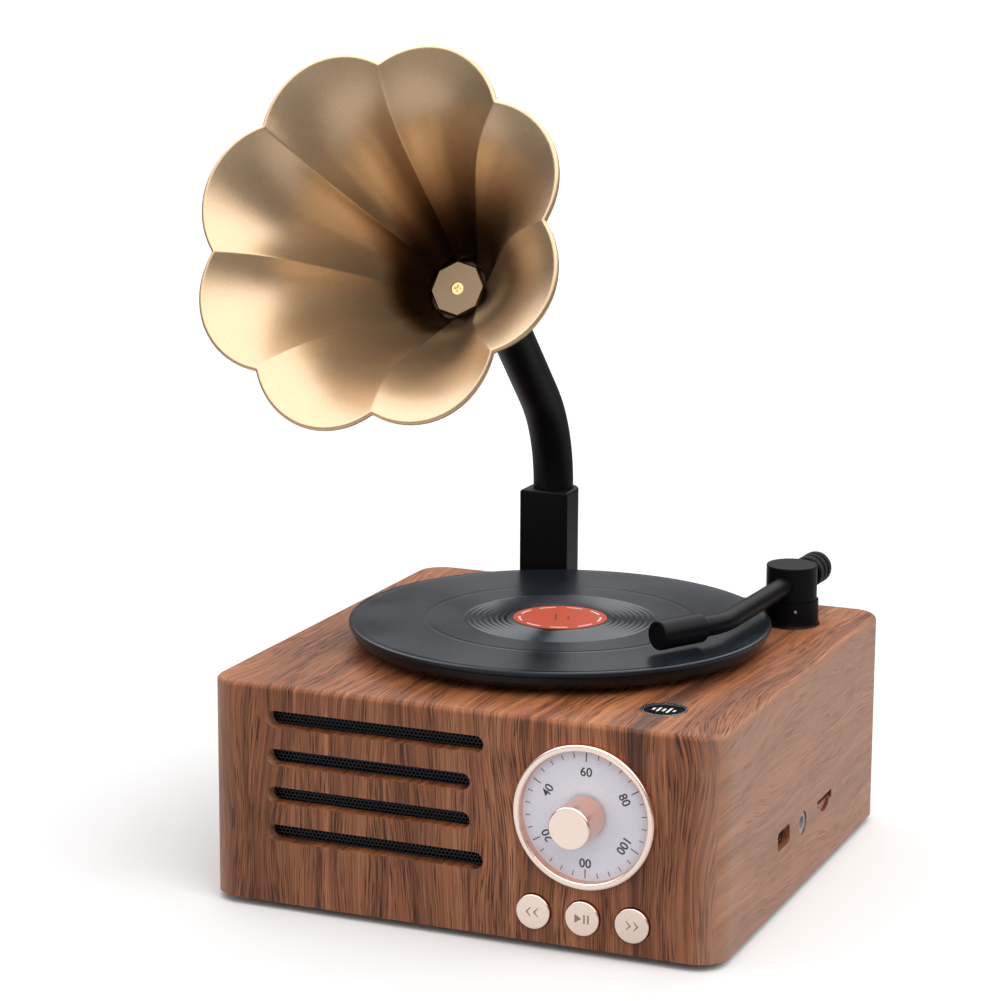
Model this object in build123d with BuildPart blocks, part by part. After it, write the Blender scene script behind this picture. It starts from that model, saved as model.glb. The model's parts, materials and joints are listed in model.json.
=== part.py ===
from build123d import *
import math
import os

os.makedirs("parts", exist_ok=True)

# A gramophone-styled wireless speaker: a wooden box with a driver behind its front slots, a small
# motor-driven record on top, a swinging tonearm and a fixed eight-petal horn on a bent arm.
# Frame: millimetres, +Z up, front towards -Y, origin at the box's plan centre where its feet rest.

# ---------------------------------------------------------------- driving dimensions
FOOT_HEIGHT = 2.0
BOX_SIDE = 140.0
BOX_HEIGHT = 58.0
WALL = 4.0
CORNER_RADIUS = 8.0
TOP_EDGE_RADIUS = 1.5
BASE_THICKNESS = 3.0
SLIP = 0.05  # radial clearance of parts that slide or turn
SNUG = 0.02  # radial clearance of parts that are pushed or screwed home

SLOT_HEIGHT = 4.4
SLOT_LEFT = -52.7
SLOT_PITCH = 10.1
SLOT_RIGHT_ENDS = (7.5, 3.9, 3.9, 7.5)  # top row first
SLOT_TOP_ROW = 49.2  # above the box underside
MESH_THICKNESS = 0.8

DIAL_X = 34.7
DIAL_RISE = 34.3  # dial centre above the box underside
BEZEL_RADIUS = 18.6
DIAL_RADIUS = 16.8
BEZEL_PROUD = 1.8
BEZEL_SEAT = 1.5
KNOB_RADIUS = 5.45
KNOB_PROUD = 11.0

BUTTON_RADIUS = 4.5
BUTTON_PITCH = 13.1
BUTTON_MIDDLE_X = 34.5
BUTTON_RISE = 8.0
BUTTON_PROUD = 1.0
BUTTON_GAP = 0.2

RECORD_RADIUS = 56.7
RECORD_THICKNESS = 1.5
RECORD_LIFT = 5.4  # gap between box top and record underside
LABEL_RADIUS = 12.6
PLATTER_RADIUS = 55.5
SPINDLE_RADIUS = 2.0

GEAR_MODULE = 0.5
PRESSURE_ANGLE = math.radians(25)
PLATTER_TEETH = 48
IDLER_TEETH = 40
PINION_TEETH = 12
TOOTH_THINNING = 0.06  # taken off each tooth's width at the pitch circle
GEAR_WIDTH = 3.0

TONEARM_X, TONEARM_Y = 50.4, 46.0
TONEARM_HEADING = 2.6  # degrees from -Y towards -X
TONEARM_BEND = 27.4  # further degrees at the elbow
TONEARM_REACH = 51.3  # pivot to elbow
HEAD_REACH = 21.6  # elbow to head
TONEARM_TAIL = 20.8
TUBE_RADIUS = 2.7
HEAD_RADIUS = 3.85
CAP_RADIUS = 7.0
TONEARM_RISE = 11.6  # tube axis above the box top

HORN_X = -27.0
HORN_ELEVATION = 20.9  # degrees above level
HORN_RIM_Y, HORN_RIM_RISE = -59.3, 173.1  # centre of the rim, height above the box underside
HORN_DEPTH = 55.25  # rim plane to throat plate
PETALS = 8
CREASE_PHASE = 8.1  # degrees
PETAL_BULGE = 0.126  # how far a petal's crest stands beyond its creases, at the rim
THROAT_RADIUS = 8.2
POST_Y = 62.2
POST_FRONT_Y = 54.85
POST_HEIGHT = 28.7
POST_HALF_WIDTH = 7.3
ARM_RADIUS = 5.75
ARM_BORE = 4.75
ARM_BEND_RADIUS = 40.0
ARM_LOWER_ELBOW = 103.7  # level above the box underside where the upright and the slope would meet

# ---------------------------------------------------------------- levels worked out from them
BOX_BOTTOM = FOOT_HEIGHT
BOX_TOP = BOX_BOTTOM + BOX_HEIGHT
CEILING = BOX_TOP - WALL
FLOOR = BOX_BOTTOM + BASE_THICKNESS
FRONT_Y = -BOX_SIDE / 2
SIDE_X = BOX_SIDE / 2
INSIDE_Y = FRONT_Y + WALL
INSIDE = BOX_SIDE - 2 * WALL
MESH_BACK_Y = INSIDE_Y + MESH_THICKNESS
DIAL_Z = BOX_BOTTOM + DIAL_RISE
BUTTON_Z = BOX_BOTTOM + BUTTON_RISE
BUTTON_XS = [BUTTON_MIDDLE_X + step * BUTTON_PITCH for step in (-1, 0, 1)]
RECORD_BOTTOM = BOX_TOP + RECORD_LIFT
RECORD_TOP = RECORD_BOTTOM + RECORD_THICKNESS
TUBE_Z = BOX_TOP + TONEARM_RISE


# ---------------------------------------------------------------- small helpers
def level(z):
    """Horizontal plane at height z."""
    return Plane.XY.offset(z)


def front_plane(y):
    """Upright plane facing the front; its own x and y are the frame's X and Z."""
    return Plane.XZ.offset(-y)


def side_plane(x):
    """Upright plane facing the right; its own x and y are the frame's Y and Z."""
    return Plane.YZ.offset(x)


def disc(plane, radius, centres=((0, 0),)):
    """Round faces on a plane."""
    with BuildSketch(plane) as sketch:
        with Locations(*centres):
            Circle(radius)
    return sketch.sketch


def box_face(plane, width, height, centres=((0, 0),), corner=0.0):
    """Rectangular faces on a plane, with rounded corners if asked."""
    with BuildSketch(plane) as sketch:
        with Locations(*centres):
            if corner > 0:
                RectangleRounded(width, height, corner)
            else:
                Rectangle(width, height)
    return sketch.sketch


def outline(plane, points):
    """A straight-sided face through the given points."""
    with BuildSketch(plane) as sketch:
        with BuildLine():
            Polyline(*points, close=True)
        make_face()
    return sketch.sketch


def add_screw(seat, head_radius, head_height, shank_radius, length):
    """A cross-head screw; the seat plane's normal points along the shank."""
    extrude(disc(seat, shank_radius), amount=length)
    extrude(disc(seat, head_radius), amount=-head_height)
    recess = seat.offset(-head_height)
    for width, height in ((head_radius * 1.2, head_radius * 0.3), (head_radius * 0.3, head_radius * 1.2)):
        extrude(box_face(recess, width, height), amount=head_height * 0.6, mode=Mode.SUBTRACT)


def write_part(builder, name):
    """Label a finished piece and write its STEP file."""
    builder.part.label = name
    export_step(builder.part, "parts/" + name + ".step")


# ---------------------------------------------------------------- wooden cabinet
BLOCK_SIDE = 9.0
BLOCK_CENTRE = 62.0
BLOCK_HEIGHT = 20.0
BASE_SCREW_HEAD = 2.6
BASE_SCREW_SHANK = 1.4
PANEL_Y, PANEL_Z = 1.25, BOX_BOTTOM + 18.25
PANEL_WIDTH, PANEL_HEIGHT, PANEL_THICKNESS = 56.5, 12.5, 2.0
WINDOW_WIDTH, WINDOW_HEIGHT = 50.0, 9.6
BADGE_X, BADGE_Y = 48.2, -51.2
BADGE_RADIUS = 6.0
BADGE_SEAT = 1.0
BUSHING_RADIUS = 3.5
NUT_POCKET_RADIUS = 6.8
NUT_POCKET_DEPTH = 3.0
BEARING_RADIUS = 4.0
STUB_RADIUS = 4.0
POST_SCREWS = ((HORN_X - 4, 57.6), (HORN_X + 4, 57.6))
POST_SCREW_SHANK = 1.4
BRACKET_WIDTH = 22.0
BRACKET_FRONT_Y, BRACKET_BACK_Y = -19.0, 44.0
BRACKET_TAB = 8.0
BRACKET_TAB_YS = (BRACKET_FRONT_Y - BRACKET_TAB / 2, BRACKET_BACK_Y + BRACKET_TAB / 2)
BRACKET_SCREWS = [(x, y) for x in (-7.0, 7.0) for y in BRACKET_TAB_YS]
BRACKET_SCREW_SHANK = 1.2
BRACKET_SCREW_DEPTH = 3.0
SPEAKER_X, SPEAKER_Z = -23.5, 31.0
SPEAKER_SCREWS = [(SPEAKER_X + dx, SPEAKER_Z + dz) for dx in (-20.5, 20.5) for dz in (-15.15, 15.15)]
SPEAKER_SCREW_SHANK = 1.0
SPEAKER_SCREW_DEPTH = 3.0

with BuildPart() as cabinet:
    with BuildSketch(level(BOX_BOTTOM)):
        RectangleRounded(BOX_SIDE, BOX_SIDE, CORNER_RADIUS)
    extrude(amount=BOX_HEIGHT)
    fillet(cabinet.edges().group_by(Axis.Z)[-1], TOP_EDGE_RADIUS)
    with BuildSketch(level(BOX_BOTTOM)):
        RectangleRounded(INSIDE, INSIDE, CORNER_RADIUS - WALL)
    extrude(amount=BOX_HEIGHT - WALL, mode=Mode.SUBTRACT)
    # glue blocks in the corners take the base screws
    with BuildSketch(level(FLOOR)):
        with GridLocations(2 * BLOCK_CENTRE, 2 * BLOCK_CENTRE, 2, 2):
            Rectangle(BLOCK_SIDE, BLOCK_SIDE)
    extrude(amount=BLOCK_HEIGHT)
    with BuildSketch(level(FLOOR)):
        with GridLocations(2 * BLOCK_CENTRE, 2 * BLOCK_CENTRE, 2, 2):
            Circle(BASE_SCREW_SHANK + SNUG)
    extrude(amount=12, mode=Mode.SUBTRACT)
    # four sound slots
    with BuildSketch(front_plane(FRONT_Y)):
        for row, right_end in enumerate(SLOT_RIGHT_ENDS):
            row_z = BOX_BOTTOM + SLOT_TOP_ROW - row * SLOT_PITCH
            with Locations(((SLOT_LEFT + right_end) / 2, row_z)):
                SlotOverall(right_end - SLOT_LEFT, SLOT_HEIGHT)
    extrude(amount=-WALL, mode=Mode.SUBTRACT)
    # seat of the bezel, pocket of the potentiometer's nut and hole for its bushing
    face = front_plane(FRONT_Y)
    extrude(disc(face, BEZEL_RADIUS + SNUG, [(DIAL_X, DIAL_Z)]), amount=-BEZEL_SEAT, mode=Mode.SUBTRACT)
    extrude(disc(face, NUT_POCKET_RADIUS, [(DIAL_X, DIAL_Z)]), amount=-NUT_POCKET_DEPTH, mode=Mode.SUBTRACT)
    extrude(disc(face, BUSHING_RADIUS + SNUG, [(DIAL_X, DIAL_Z)]), amount=-WALL, mode=Mode.SUBTRACT)
    # button holes
    button_centres = [(x, BUTTON_Z) for x in BUTTON_XS]
    extrude(disc(face, BUTTON_RADIUS + BUTTON_GAP, button_centres), amount=-WALL, mode=Mode.SUBTRACT)
    # driver screws, from inside
    inner_face = front_plane(INSIDE_Y)
    extrude(
        disc(inner_face, SPEAKER_SCREW_SHANK + SNUG, SPEAKER_SCREWS),
        amount=SPEAKER_SCREW_DEPTH,
        mode=Mode.SUBTRACT,
    )
    # rebate and window of the port panel
    side = side_plane(SIDE_X)
    centre = [(PANEL_Y, PANEL_Z)]
    extrude(
        box_face(side, PANEL_WIDTH + 2 * SNUG, PANEL_HEIGHT + 2 * SNUG, centre, 1.5),
        amount=-PANEL_THICKNESS,
        mode=Mode.SUBTRACT,
    )
    extrude(box_face(side, WINDOW_WIDTH, WINDOW_HEIGHT, centre, 1.0), amount=-WALL, mode=Mode.SUBTRACT)
    # holes in the top
    top = level(BOX_TOP)
    extrude(disc(top, BEARING_RADIUS + SNUG), amount=-WALL, mode=Mode.SUBTRACT)
    extrude(disc(top, STUB_RADIUS + SNUG, [(TONEARM_X, TONEARM_Y)]), amount=-WALL, mode=Mode.SUBTRACT)
    extrude(disc(top, POST_SCREW_SHANK + SNUG, POST_SCREWS), amount=-WALL, mode=Mode.SUBTRACT)
    extrude(disc(top, BADGE_RADIUS + SNUG, [(BADGE_X, BADGE_Y)]), amount=-BADGE_SEAT, mode=Mode.SUBTRACT)
    extrude(
        disc(level(CEILING), BRACKET_SCREW_SHANK + SNUG, BRACKET_SCREWS),
        amount=BRACKET_SCREW_DEPTH,
        mode=Mode.SUBTRACT,
    )
write_part(cabinet, "cabinet")

# ---------------------------------------------------------------- base plate, feet and screws
BASE_SIDE = INSIDE - 0.6
BOARD_UNDERSIDE = 15.4
BOARD_THICKNESS = 1.6
BOARD_TOP = BOARD_UNDERSIDE + BOARD_THICKNESS
BOARD_LEFT, BOARD_RIGHT = 22.0, 65.5
BOARD_FRONT, BOARD_BACK = -32.0, 34.0
BOARD_PEGS = [(x, y) for x in (BOARD_LEFT + 4, BOARD_RIGHT - 4) for y in (BOARD_FRONT + 4, BOARD_BACK - 4)]
PEG_RADIUS = 1.2
KEY_BOARD_Y = -59.5
KEY_BOARD_THICKNESS = 1.2
KEY_BOARD_WIDTH = 42.0
KEY_BOARD_BOTTOM = 6.5
KEY_BOARD_TOP = 15.5
FOOT_RADIUS = 6.0
FOOT_CENTRE = 48.0

with BuildPart() as base_plate:
    with BuildSketch(level(BOX_BOTTOM)):
        RectangleRounded(BASE_SIDE, BASE_SIDE, CORNER_RADIUS - WALL)
    extrude(amount=BASE_THICKNESS)
    with BuildSketch(level(BOX_BOTTOM)):
        with GridLocations(2 * BLOCK_CENTRE, 2 * BLOCK_CENTRE, 2, 2):
            Circle(BASE_SCREW_SHANK + SLIP)
    extrude(amount=BASE_THICKNESS, mode=Mode.SUBTRACT)
    with BuildSketch(level(BOX_BOTTOM)):
        with GridLocations(2 * BLOCK_CENTRE, 2 * BLOCK_CENTRE, 2, 2):
            Circle(BASE_SCREW_HEAD + 0.2)
    extrude(amount=BASE_THICKNESS / 2, mode=Mode.SUBTRACT)
    # stepped pillars: the board rests on the shoulders and its holes drop over the pegs
    extrude(disc(level(FLOOR), 2.5, BOARD_PEGS), amount=BOARD_UNDERSIDE - FLOOR)
    extrude(disc(level(FLOOR), PEG_RADIUS, BOARD_PEGS), amount=BOARD_TOP + 0.8 - FLOOR)
    # two grooved uprights hold the ends of the key board
    upright_xs = [BUTTON_MIDDLE_X + side_sign * (KEY_BOARD_WIDTH / 2 - 1.5) for side_sign in (-1, 1)]
    uprights = [(x, KEY_BOARD_Y + KEY_BOARD_THICKNESS / 2) for x in upright_xs]
    extrude(box_face(level(FLOOR), 3.0, 5.0, uprights), amount=5.0)
    extrude(
        box_face(level(KEY_BOARD_BOTTOM), 3.0, KEY_BOARD_THICKNESS + 0.1, uprights),
        amount=5.0,
        mode=Mode.SUBTRACT,
    )
write_part(base_plate, "base_plate")

with BuildPart() as rubber_feet:
    with BuildSketch(level(0)):
        with GridLocations(2 * FOOT_CENTRE, 2 * FOOT_CENTRE, 2, 2):
            Circle(FOOT_RADIUS)
    extrude(amount=FOOT_HEIGHT)
    fillet(rubber_feet.edges().group_by(Axis.Z)[0], 0.5)
write_part(rubber_feet, "rubber_feet")

with BuildPart() as base_screws:
    for x in (-BLOCK_CENTRE, BLOCK_CENTRE):
        for y in (-BLOCK_CENTRE, BLOCK_CENTRE):
            seat = Plane(origin=(x, y, BOX_BOTTOM + BASE_THICKNESS / 2), z_dir=(0, 0, 1))
            add_screw(seat, BASE_SCREW_HEAD, 1.3, BASE_SCREW_SHANK, 12.0)
write_part(base_screws, "base_screws")

# ---------------------------------------------------------------- grille and driver
MESH_LEFT, MESH_RIGHT = -56.0, 11.0
MESH_BOTTOM, MESH_TOP = 7.0, 55.0
MESH_HOLE_RADIUS = 0.65
MESH_HOLE_PITCH = 2.1
FLANGE_SIDE = 48.0
FLANGE_THICKNESS = 2.0
CONE_OPENING = 20.6

with BuildPart() as grille_mesh:
    mesh_centre = [((MESH_LEFT + MESH_RIGHT) / 2, (MESH_BOTTOM + MESH_TOP) / 2)]
    mesh_size = (MESH_RIGHT - MESH_LEFT, MESH_TOP - MESH_BOTTOM)
    extrude(box_face(front_plane(INSIDE_Y), *mesh_size, mesh_centre), amount=-MESH_THICKNESS)
    extrude(
        disc(front_plane(INSIDE_Y), SPEAKER_SCREW_SHANK + SLIP, SPEAKER_SCREWS),
        amount=-MESH_THICKNESS,
        mode=Mode.SUBTRACT,
    )
    with BuildSketch(front_plane(INSIDE_Y)):
        for row, right_end in enumerate(SLOT_RIGHT_ENDS):
            row_z = BOX_BOTTOM + SLOT_TOP_ROW - row * SLOT_PITCH
            columns = int((right_end - SLOT_LEFT - SLOT_HEIGHT / 2) / MESH_HOLE_PITCH)
            with Locations(((SLOT_LEFT + right_end) / 2, row_z)):
                with GridLocations(MESH_HOLE_PITCH, MESH_HOLE_PITCH, columns, 2):
                    Circle(MESH_HOLE_RADIUS)
    extrude(amount=-MESH_THICKNESS, mode=Mode.SUBTRACT)
write_part(grille_mesh, "grille_mesh")

# driver profiles are drawn as (radius, depth behind the mesh) and turned about its axis
driver_plane = Plane(origin=(SPEAKER_X, MESH_BACK_Y, SPEAKER_Z), x_dir=(1, 0, 0), z_dir=(0, 0, 1))
driver_axis = Axis((SPEAKER_X, MESH_BACK_Y, SPEAKER_Z), (0, 1, 0))
GAP_PLATE_FRONT, GAP_PLATE_BACK = 11.0, 13.0
MAGNET_BACK = 18.0
YOKE_BACK = 20.0
COIL_FORMER_RADIUS = 7.0
POLE_RADIUS = 6.3
GAP_RADIUS = 7.7

with BuildPart() as speaker_frame:
    flange_plane = front_plane(MESH_BACK_Y)
    flange = box_face(flange_plane, FLANGE_SIDE, FLANGE_SIDE, [(SPEAKER_X, SPEAKER_Z)], 5.0)
    extrude(flange, amount=-FLANGE_THICKNESS)
    opening = disc(flange_plane, CONE_OPENING, [(SPEAKER_X, SPEAKER_Z)])
    extrude(opening, amount=-FLANGE_THICKNESS, mode=Mode.SUBTRACT)
    basket = [
        (19.6, 2.0),
        (21.6, 2.0),
        (14.2, GAP_PLATE_FRONT),
        (14.2, GAP_PLATE_BACK),
        (GAP_RADIUS, GAP_PLATE_BACK),
        (GAP_RADIUS, GAP_PLATE_FRONT),
        (13.2, GAP_PLATE_FRONT),
        (13.2, GAP_PLATE_FRONT - 1.0),
        (19.6, 2.8),
    ]
    revolve(outline(driver_plane, basket), axis=driver_axis)
    # six windows let the back of the cone breathe
    with BuildSketch(front_plane(MESH_BACK_Y)):
        with Locations((SPEAKER_X, SPEAKER_Z)):
            with PolarLocations(16.5, 6):
                Circle(2.8)
    extrude(amount=-(GAP_PLATE_FRONT - 1.2), mode=Mode.SUBTRACT)
    extrude(
        disc(flange_plane, SPEAKER_SCREW_SHANK + SLIP, SPEAKER_SCREWS),
        amount=-FLANGE_THICKNESS,
        mode=Mode.SUBTRACT,
    )
write_part(speaker_frame, "speaker_frame")

with BuildPart() as speaker_surround:
    # outer lip, half roll towards the front and inner lip that the cone's edge runs in
    with BuildSketch(driver_plane):
        with BuildLine():
            Line((16.3, 1.6), (17.1, 1.6))
            ThreePointArc((17.1, 1.6), (18.4, 0.3), (19.7, 1.6))
            Polyline((19.7, 1.6), (20.5, 1.6), (20.5, 2.0), (19.3, 2.0))
            ThreePointArc((19.3, 2.0), (18.4, 0.8), (17.5, 2.0))
            Polyline((17.5, 2.0), (16.3, 2.0), (16.3, 1.6))
        make_face()
    revolve(axis=driver_axis)
write_part(speaker_surround, "speaker_surround")

with BuildPart() as speaker_spider:
    spider_back = GAP_PLATE_FRONT - 1.0
    spider = [
        (7.1, spider_back - 0.4),
        (8.6, spider_back - 1.0),
        (10.1, spider_back - 0.4),
        (11.6, spider_back - 1.0),
        (12.4, spider_back - 0.4),
        (13.1, spider_back - 0.4),
        (13.1, spider_back),
        (12.2, spider_back),
        (11.6, spider_back - 0.6),
        (10.1, spider_back),
        (8.6, spider_back - 0.6),
        (7.1, spider_back),
    ]
    revolve(outline(driver_plane, spider), axis=driver_axis)
write_part(speaker_spider, "speaker_spider")

with BuildPart() as speaker_magnet:
    magnet = [(9.0, GAP_PLATE_BACK), (15.0, GAP_PLATE_BACK), (15.0, MAGNET_BACK), (9.0, MAGNET_BACK)]
    revolve(outline(driver_plane, magnet), axis=driver_axis)
write_part(speaker_magnet, "speaker_magnet")

with BuildPart() as speaker_yoke:
    yoke = [
        (0, GAP_PLATE_FRONT),
        (POLE_RADIUS, GAP_PLATE_FRONT),
        (POLE_RADIUS, MAGNET_BACK),
        (13.5, MAGNET_BACK),
        (13.5, YOKE_BACK - 0.6),
        (12.9, YOKE_BACK),
        (0, YOKE_BACK),
    ]
    revolve(outline(driver_plane, yoke), axis=driver_axis)
write_part(speaker_yoke, "speaker_yoke")

with BuildPart() as speaker_cone:
    neck_radius = COIL_FORMER_RADIUS
    cone = [(16.2, 1.5), (16.2, 2.1), (7.5, 7.6), (7.5, 8.6), (neck_radius, 8.6), (neck_radius, 7.3)]
    revolve(outline(driver_plane, cone), axis=driver_axis)
write_part(speaker_cone, "speaker_cone")

with BuildPart() as voice_coil:
    coil = [
        (6.7, 6.6),
        (COIL_FORMER_RADIUS, 6.6),
        (COIL_FORMER_RADIUS, GAP_PLATE_FRONT - 0.2),
        (7.4, GAP_PLATE_FRONT - 0.2),
        (7.4, GAP_PLATE_BACK + 1.0),
        (6.7, GAP_PLATE_BACK + 1.0),
    ]
    revolve(outline(driver_plane, coil), axis=driver_axis)
write_part(voice_coil, "voice_coil")

with BuildPart() as dust_cap:
    # shallow spherical dome whose rim meets the coil former
    dome_rise = 2.2
    dome_radius = (COIL_FORMER_RADIUS**2 + dome_rise**2) / (2 * dome_rise)
    dome_centre = (SPEAKER_X, MESH_BACK_Y + 6.6 - dome_rise + dome_radius, SPEAKER_Z)
    with Locations(dome_centre):
        Sphere(dome_radius)
        Sphere(dome_radius - 0.4, mode=Mode.SUBTRACT)
    split(bisect_by=Plane(origin=(0, MESH_BACK_Y + 6.6, 0), z_dir=(0, -1, 0)), keep=Keep.TOP)
write_part(dust_cap, "dust_cap")

with BuildPart() as speaker_screws:
    for x, z in SPEAKER_SCREWS:
        seat = Plane(origin=(x, MESH_BACK_Y + FLANGE_THICKNESS, z), z_dir=(0, -1, 0))
        add_screw(seat, 1.9, 1.2, SPEAKER_SCREW_SHANK, FLANGE_THICKNESS + MESH_THICKNESS + 2.6)
write_part(speaker_screws, "speaker_screws")

# ---------------------------------------------------------------- electronics
USB_Y, USB_Z = -18.9, BOX_BOTTOM + 18.0
JACK_Y, JACK_Z = -2.3, BOX_BOTTOM + 17.1
JACK_BORE_RADIUS = 1.8
JACK_MOUTH_X = SIDE_X - 0.4
JACK_BORE_LENGTH = 14.6
CARD_Y, CARD_Z = 17.0, BOX_BOTTOM + 18.0
SOCKET_MOUTH_X = SIDE_X - PANEL_THICKNESS - 0.1
CELL_RADIUS = 9.2
CELL_LENGTH = 65.0
CELL_X, CELL_Y, CELL_Z = -20.0, 48.0, FLOOR + 10.5

with BuildPart() as main_board:
    board_centre = [((BOARD_LEFT + BOARD_RIGHT) / 2, (BOARD_FRONT + BOARD_BACK) / 2)]
    board_size = (BOARD_RIGHT - BOARD_LEFT, BOARD_BACK - BOARD_FRONT)
    extrude(box_face(level(BOARD_UNDERSIDE), *board_size, board_centre, 1.5), amount=BOARD_THICKNESS)
    extrude(
        disc(level(BOARD_UNDERSIDE), PEG_RADIUS + SLIP, BOARD_PEGS),
        amount=BOARD_THICKNESS,
        mode=Mode.SUBTRACT,
    )
write_part(main_board, "main_board")

with BuildPart() as usb_socket:
    length = SOCKET_MOUTH_X - 57.0
    mouth = side_plane(SOCKET_MOUTH_X)
    extrude(box_face(mouth, 9.2, 4.2, [(USB_Y, USB_Z)], 0.8), amount=-length)
    foot_z = (BOARD_TOP + USB_Z) / 2
    extrude(box_face(side_plane(64.0), 8.0, USB_Z - BOARD_TOP, [(USB_Y, foot_z)]), amount=-7.0)
    extrude(box_face(mouth, 8.2, 3.2, [(USB_Y, USB_Z)], 0.6), amount=-8.0, mode=Mode.SUBTRACT)
    extrude(box_face(side_plane(SOCKET_MOUTH_X - 1.0), 5.6, 0.9, [(USB_Y, USB_Z)]), amount=-7.5)
write_part(usb_socket, "usb_socket")

with BuildPart() as audio_jack:
    body_front_x = BOARD_RIGHT
    extrude(box_face(side_plane(body_front_x), 11.0, 5.4, [(JACK_Y, BOARD_TOP + 2.7)]), amount=-13.0)
    nose = disc(side_plane(JACK_MOUTH_X), 3.0, [(JACK_Y, JACK_Z)])
    extrude(nose, amount=-(JACK_MOUTH_X - body_front_x))
    bore = disc(side_plane(JACK_MOUTH_X), JACK_BORE_RADIUS, [(JACK_Y, JACK_Z)])
    extrude(bore, amount=-JACK_BORE_LENGTH, mode=Mode.SUBTRACT)
write_part(audio_jack, "audio_jack")

with BuildPart() as card_socket:
    mouth = side_plane(SOCKET_MOUTH_X)
    extrude(box_face(mouth, 14.6, 4.6, [(CARD_Y, BOARD_TOP + 2.3)]), amount=-16.0)
    extrude(box_face(mouth, 12.4, 1.6, [(CARD_Y, CARD_Z)]), amount=-14.0, mode=Mode.SUBTRACT)
write_part(card_socket, "card_socket")

with BuildPart() as port_panel:
    outer = side_plane(SIDE_X)
    plate = box_face(outer, PANEL_WIDTH, PANEL_HEIGHT, [(PANEL_Y, PANEL_Z)], 1.5)
    extrude(plate, amount=-PANEL_THICKNESS)
    cuts = (
        box_face(outer, 10.0, 5.0, [(USB_Y, USB_Z)], 1.2),
        disc(outer, 3.15, [(JACK_Y, JACK_Z)]),
        box_face(outer, 13.0, 2.2, [(CARD_Y, CARD_Z)], 0.6),
    )
    for cut in cuts:
        extrude(cut, amount=-PANEL_THICKNESS, mode=Mode.SUBTRACT)
    # thumb scoop under the card slot
    with BuildSketch(outer):
        with Locations((CARD_Y, CARD_Z)):
            Ellipse(4.6, 3.2)
        with Locations((CARD_Y, CARD_Z + 5)):
            Rectangle(12, 10, mode=Mode.SUBTRACT)
    extrude(amount=-1.0, mode=Mode.SUBTRACT)
write_part(port_panel, "port_panel")

with BuildPart() as battery:
    cell_face = disc(side_plane(CELL_X - CELL_LENGTH / 2), CELL_RADIUS, [(CELL_Y, CELL_Z)])
    extrude(cell_face, amount=CELL_LENGTH)
    fillet(battery.edges(), 0.6)
    extrude(disc(side_plane(CELL_X + CELL_LENGTH / 2), 3.0, [(CELL_Y, CELL_Z)]), amount=1.0)
write_part(battery, "battery")

with BuildPart() as battery_cradle:
    cradle = box_face(level(FLOOR), CELL_LENGTH + 6, 21.0, [(CELL_X, CELL_Y)])
    extrude(cradle, amount=CELL_Z - FLOOR)
    hollow = disc(side_plane(CELL_X - CELL_LENGTH / 2 - 1.1), CELL_RADIUS + 0.1, [(CELL_Y, CELL_Z)])
    extrude(hollow, amount=CELL_LENGTH + 2.2, mode=Mode.SUBTRACT)
write_part(battery_cradle, "battery_cradle")

# ---------------------------------------------------------------- buttons
KEY_FLANGE = (12.4, 8.6)
KEY_FLANGE_THICKNESS = 0.8
STEM_RADIUS = 1.5
STEM_END_Y = -62.0
SWITCH_SIDE = 6.0
SWITCH_FRONT_Y = -63.0
SWITCH_WELL_DEPTH = 2.4


def add_button(x):
    """A round key: proud cap, retaining flange behind the wall and a stem that enters the switch."""
    cap_front = front_plane(FRONT_Y - BUTTON_PROUD)
    flange_front_y = INSIDE_Y + 0.1
    cap_length = flange_front_y - FRONT_Y + BUTTON_PROUD
    extrude(disc(cap_front, BUTTON_RADIUS, [(x, BUTTON_Z)]), amount=-cap_length)
    rim = faces().sort_by(Axis.Y)[0].edges()
    fillet(rim, 0.35)
    key_flange = box_face(front_plane(flange_front_y), *KEY_FLANGE, [(x, BUTTON_Z)])
    extrude(key_flange, amount=-KEY_FLANGE_THICKNESS)
    stem_y = flange_front_y + KEY_FLANGE_THICKNESS
    extrude(disc(front_plane(stem_y), STEM_RADIUS, [(x, BUTTON_Z)]), amount=-(STEM_END_Y - stem_y))


with BuildPart() as previous_button:
    add_button(BUTTON_XS[0])
write_part(previous_button, "previous_button")

with BuildPart() as play_button:
    add_button(BUTTON_XS[1])
write_part(play_button, "play_button")

with BuildPart() as next_button:
    add_button(BUTTON_XS[2])
write_part(next_button, "next_button")

with BuildPart() as tact_switches:
    switch_front = front_plane(SWITCH_FRONT_Y)
    extrude(
        box_face(switch_front, SWITCH_SIDE, SWITCH_SIDE, [(x, BUTTON_Z) for x in BUTTON_XS]),
        amount=-(KEY_BOARD_Y - SWITCH_FRONT_Y),
    )
    wells = disc(switch_front, STEM_RADIUS + SLIP, [(x, BUTTON_Z) for x in BUTTON_XS])
    extrude(wells, amount=-SWITCH_WELL_DEPTH, mode=Mode.SUBTRACT)
write_part(tact_switches, "tact_switches")

with BuildPart() as button_board:
    key_board_centre = [(BUTTON_MIDDLE_X, (KEY_BOARD_BOTTOM + KEY_BOARD_TOP) / 2)]
    key_board = box_face(
        front_plane(KEY_BOARD_Y), KEY_BOARD_WIDTH, KEY_BOARD_TOP - KEY_BOARD_BOTTOM, key_board_centre
    )
    extrude(key_board, amount=-KEY_BOARD_THICKNESS)
write_part(button_board, "button_board")

# ---------------------------------------------------------------- volume dial
dial_centre = [(DIAL_X, DIAL_Z)]
POT_BODY_RADIUS = 8.0
POT_DEPTH = 8.0
POT_SHAFT_RADIUS = 3.0
SHAFT_FLAT = 2.2  # distance of the D flat from the shaft's axis
BUSHING_FRONT_Y = FRONT_Y + 1.6
KNOB_BACK_Y = FRONT_Y - 0.4
KNOB_FRONT_Y = FRONT_Y - KNOB_PROUD
DIAL_FACE_Y = FRONT_Y + 0.5


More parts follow.
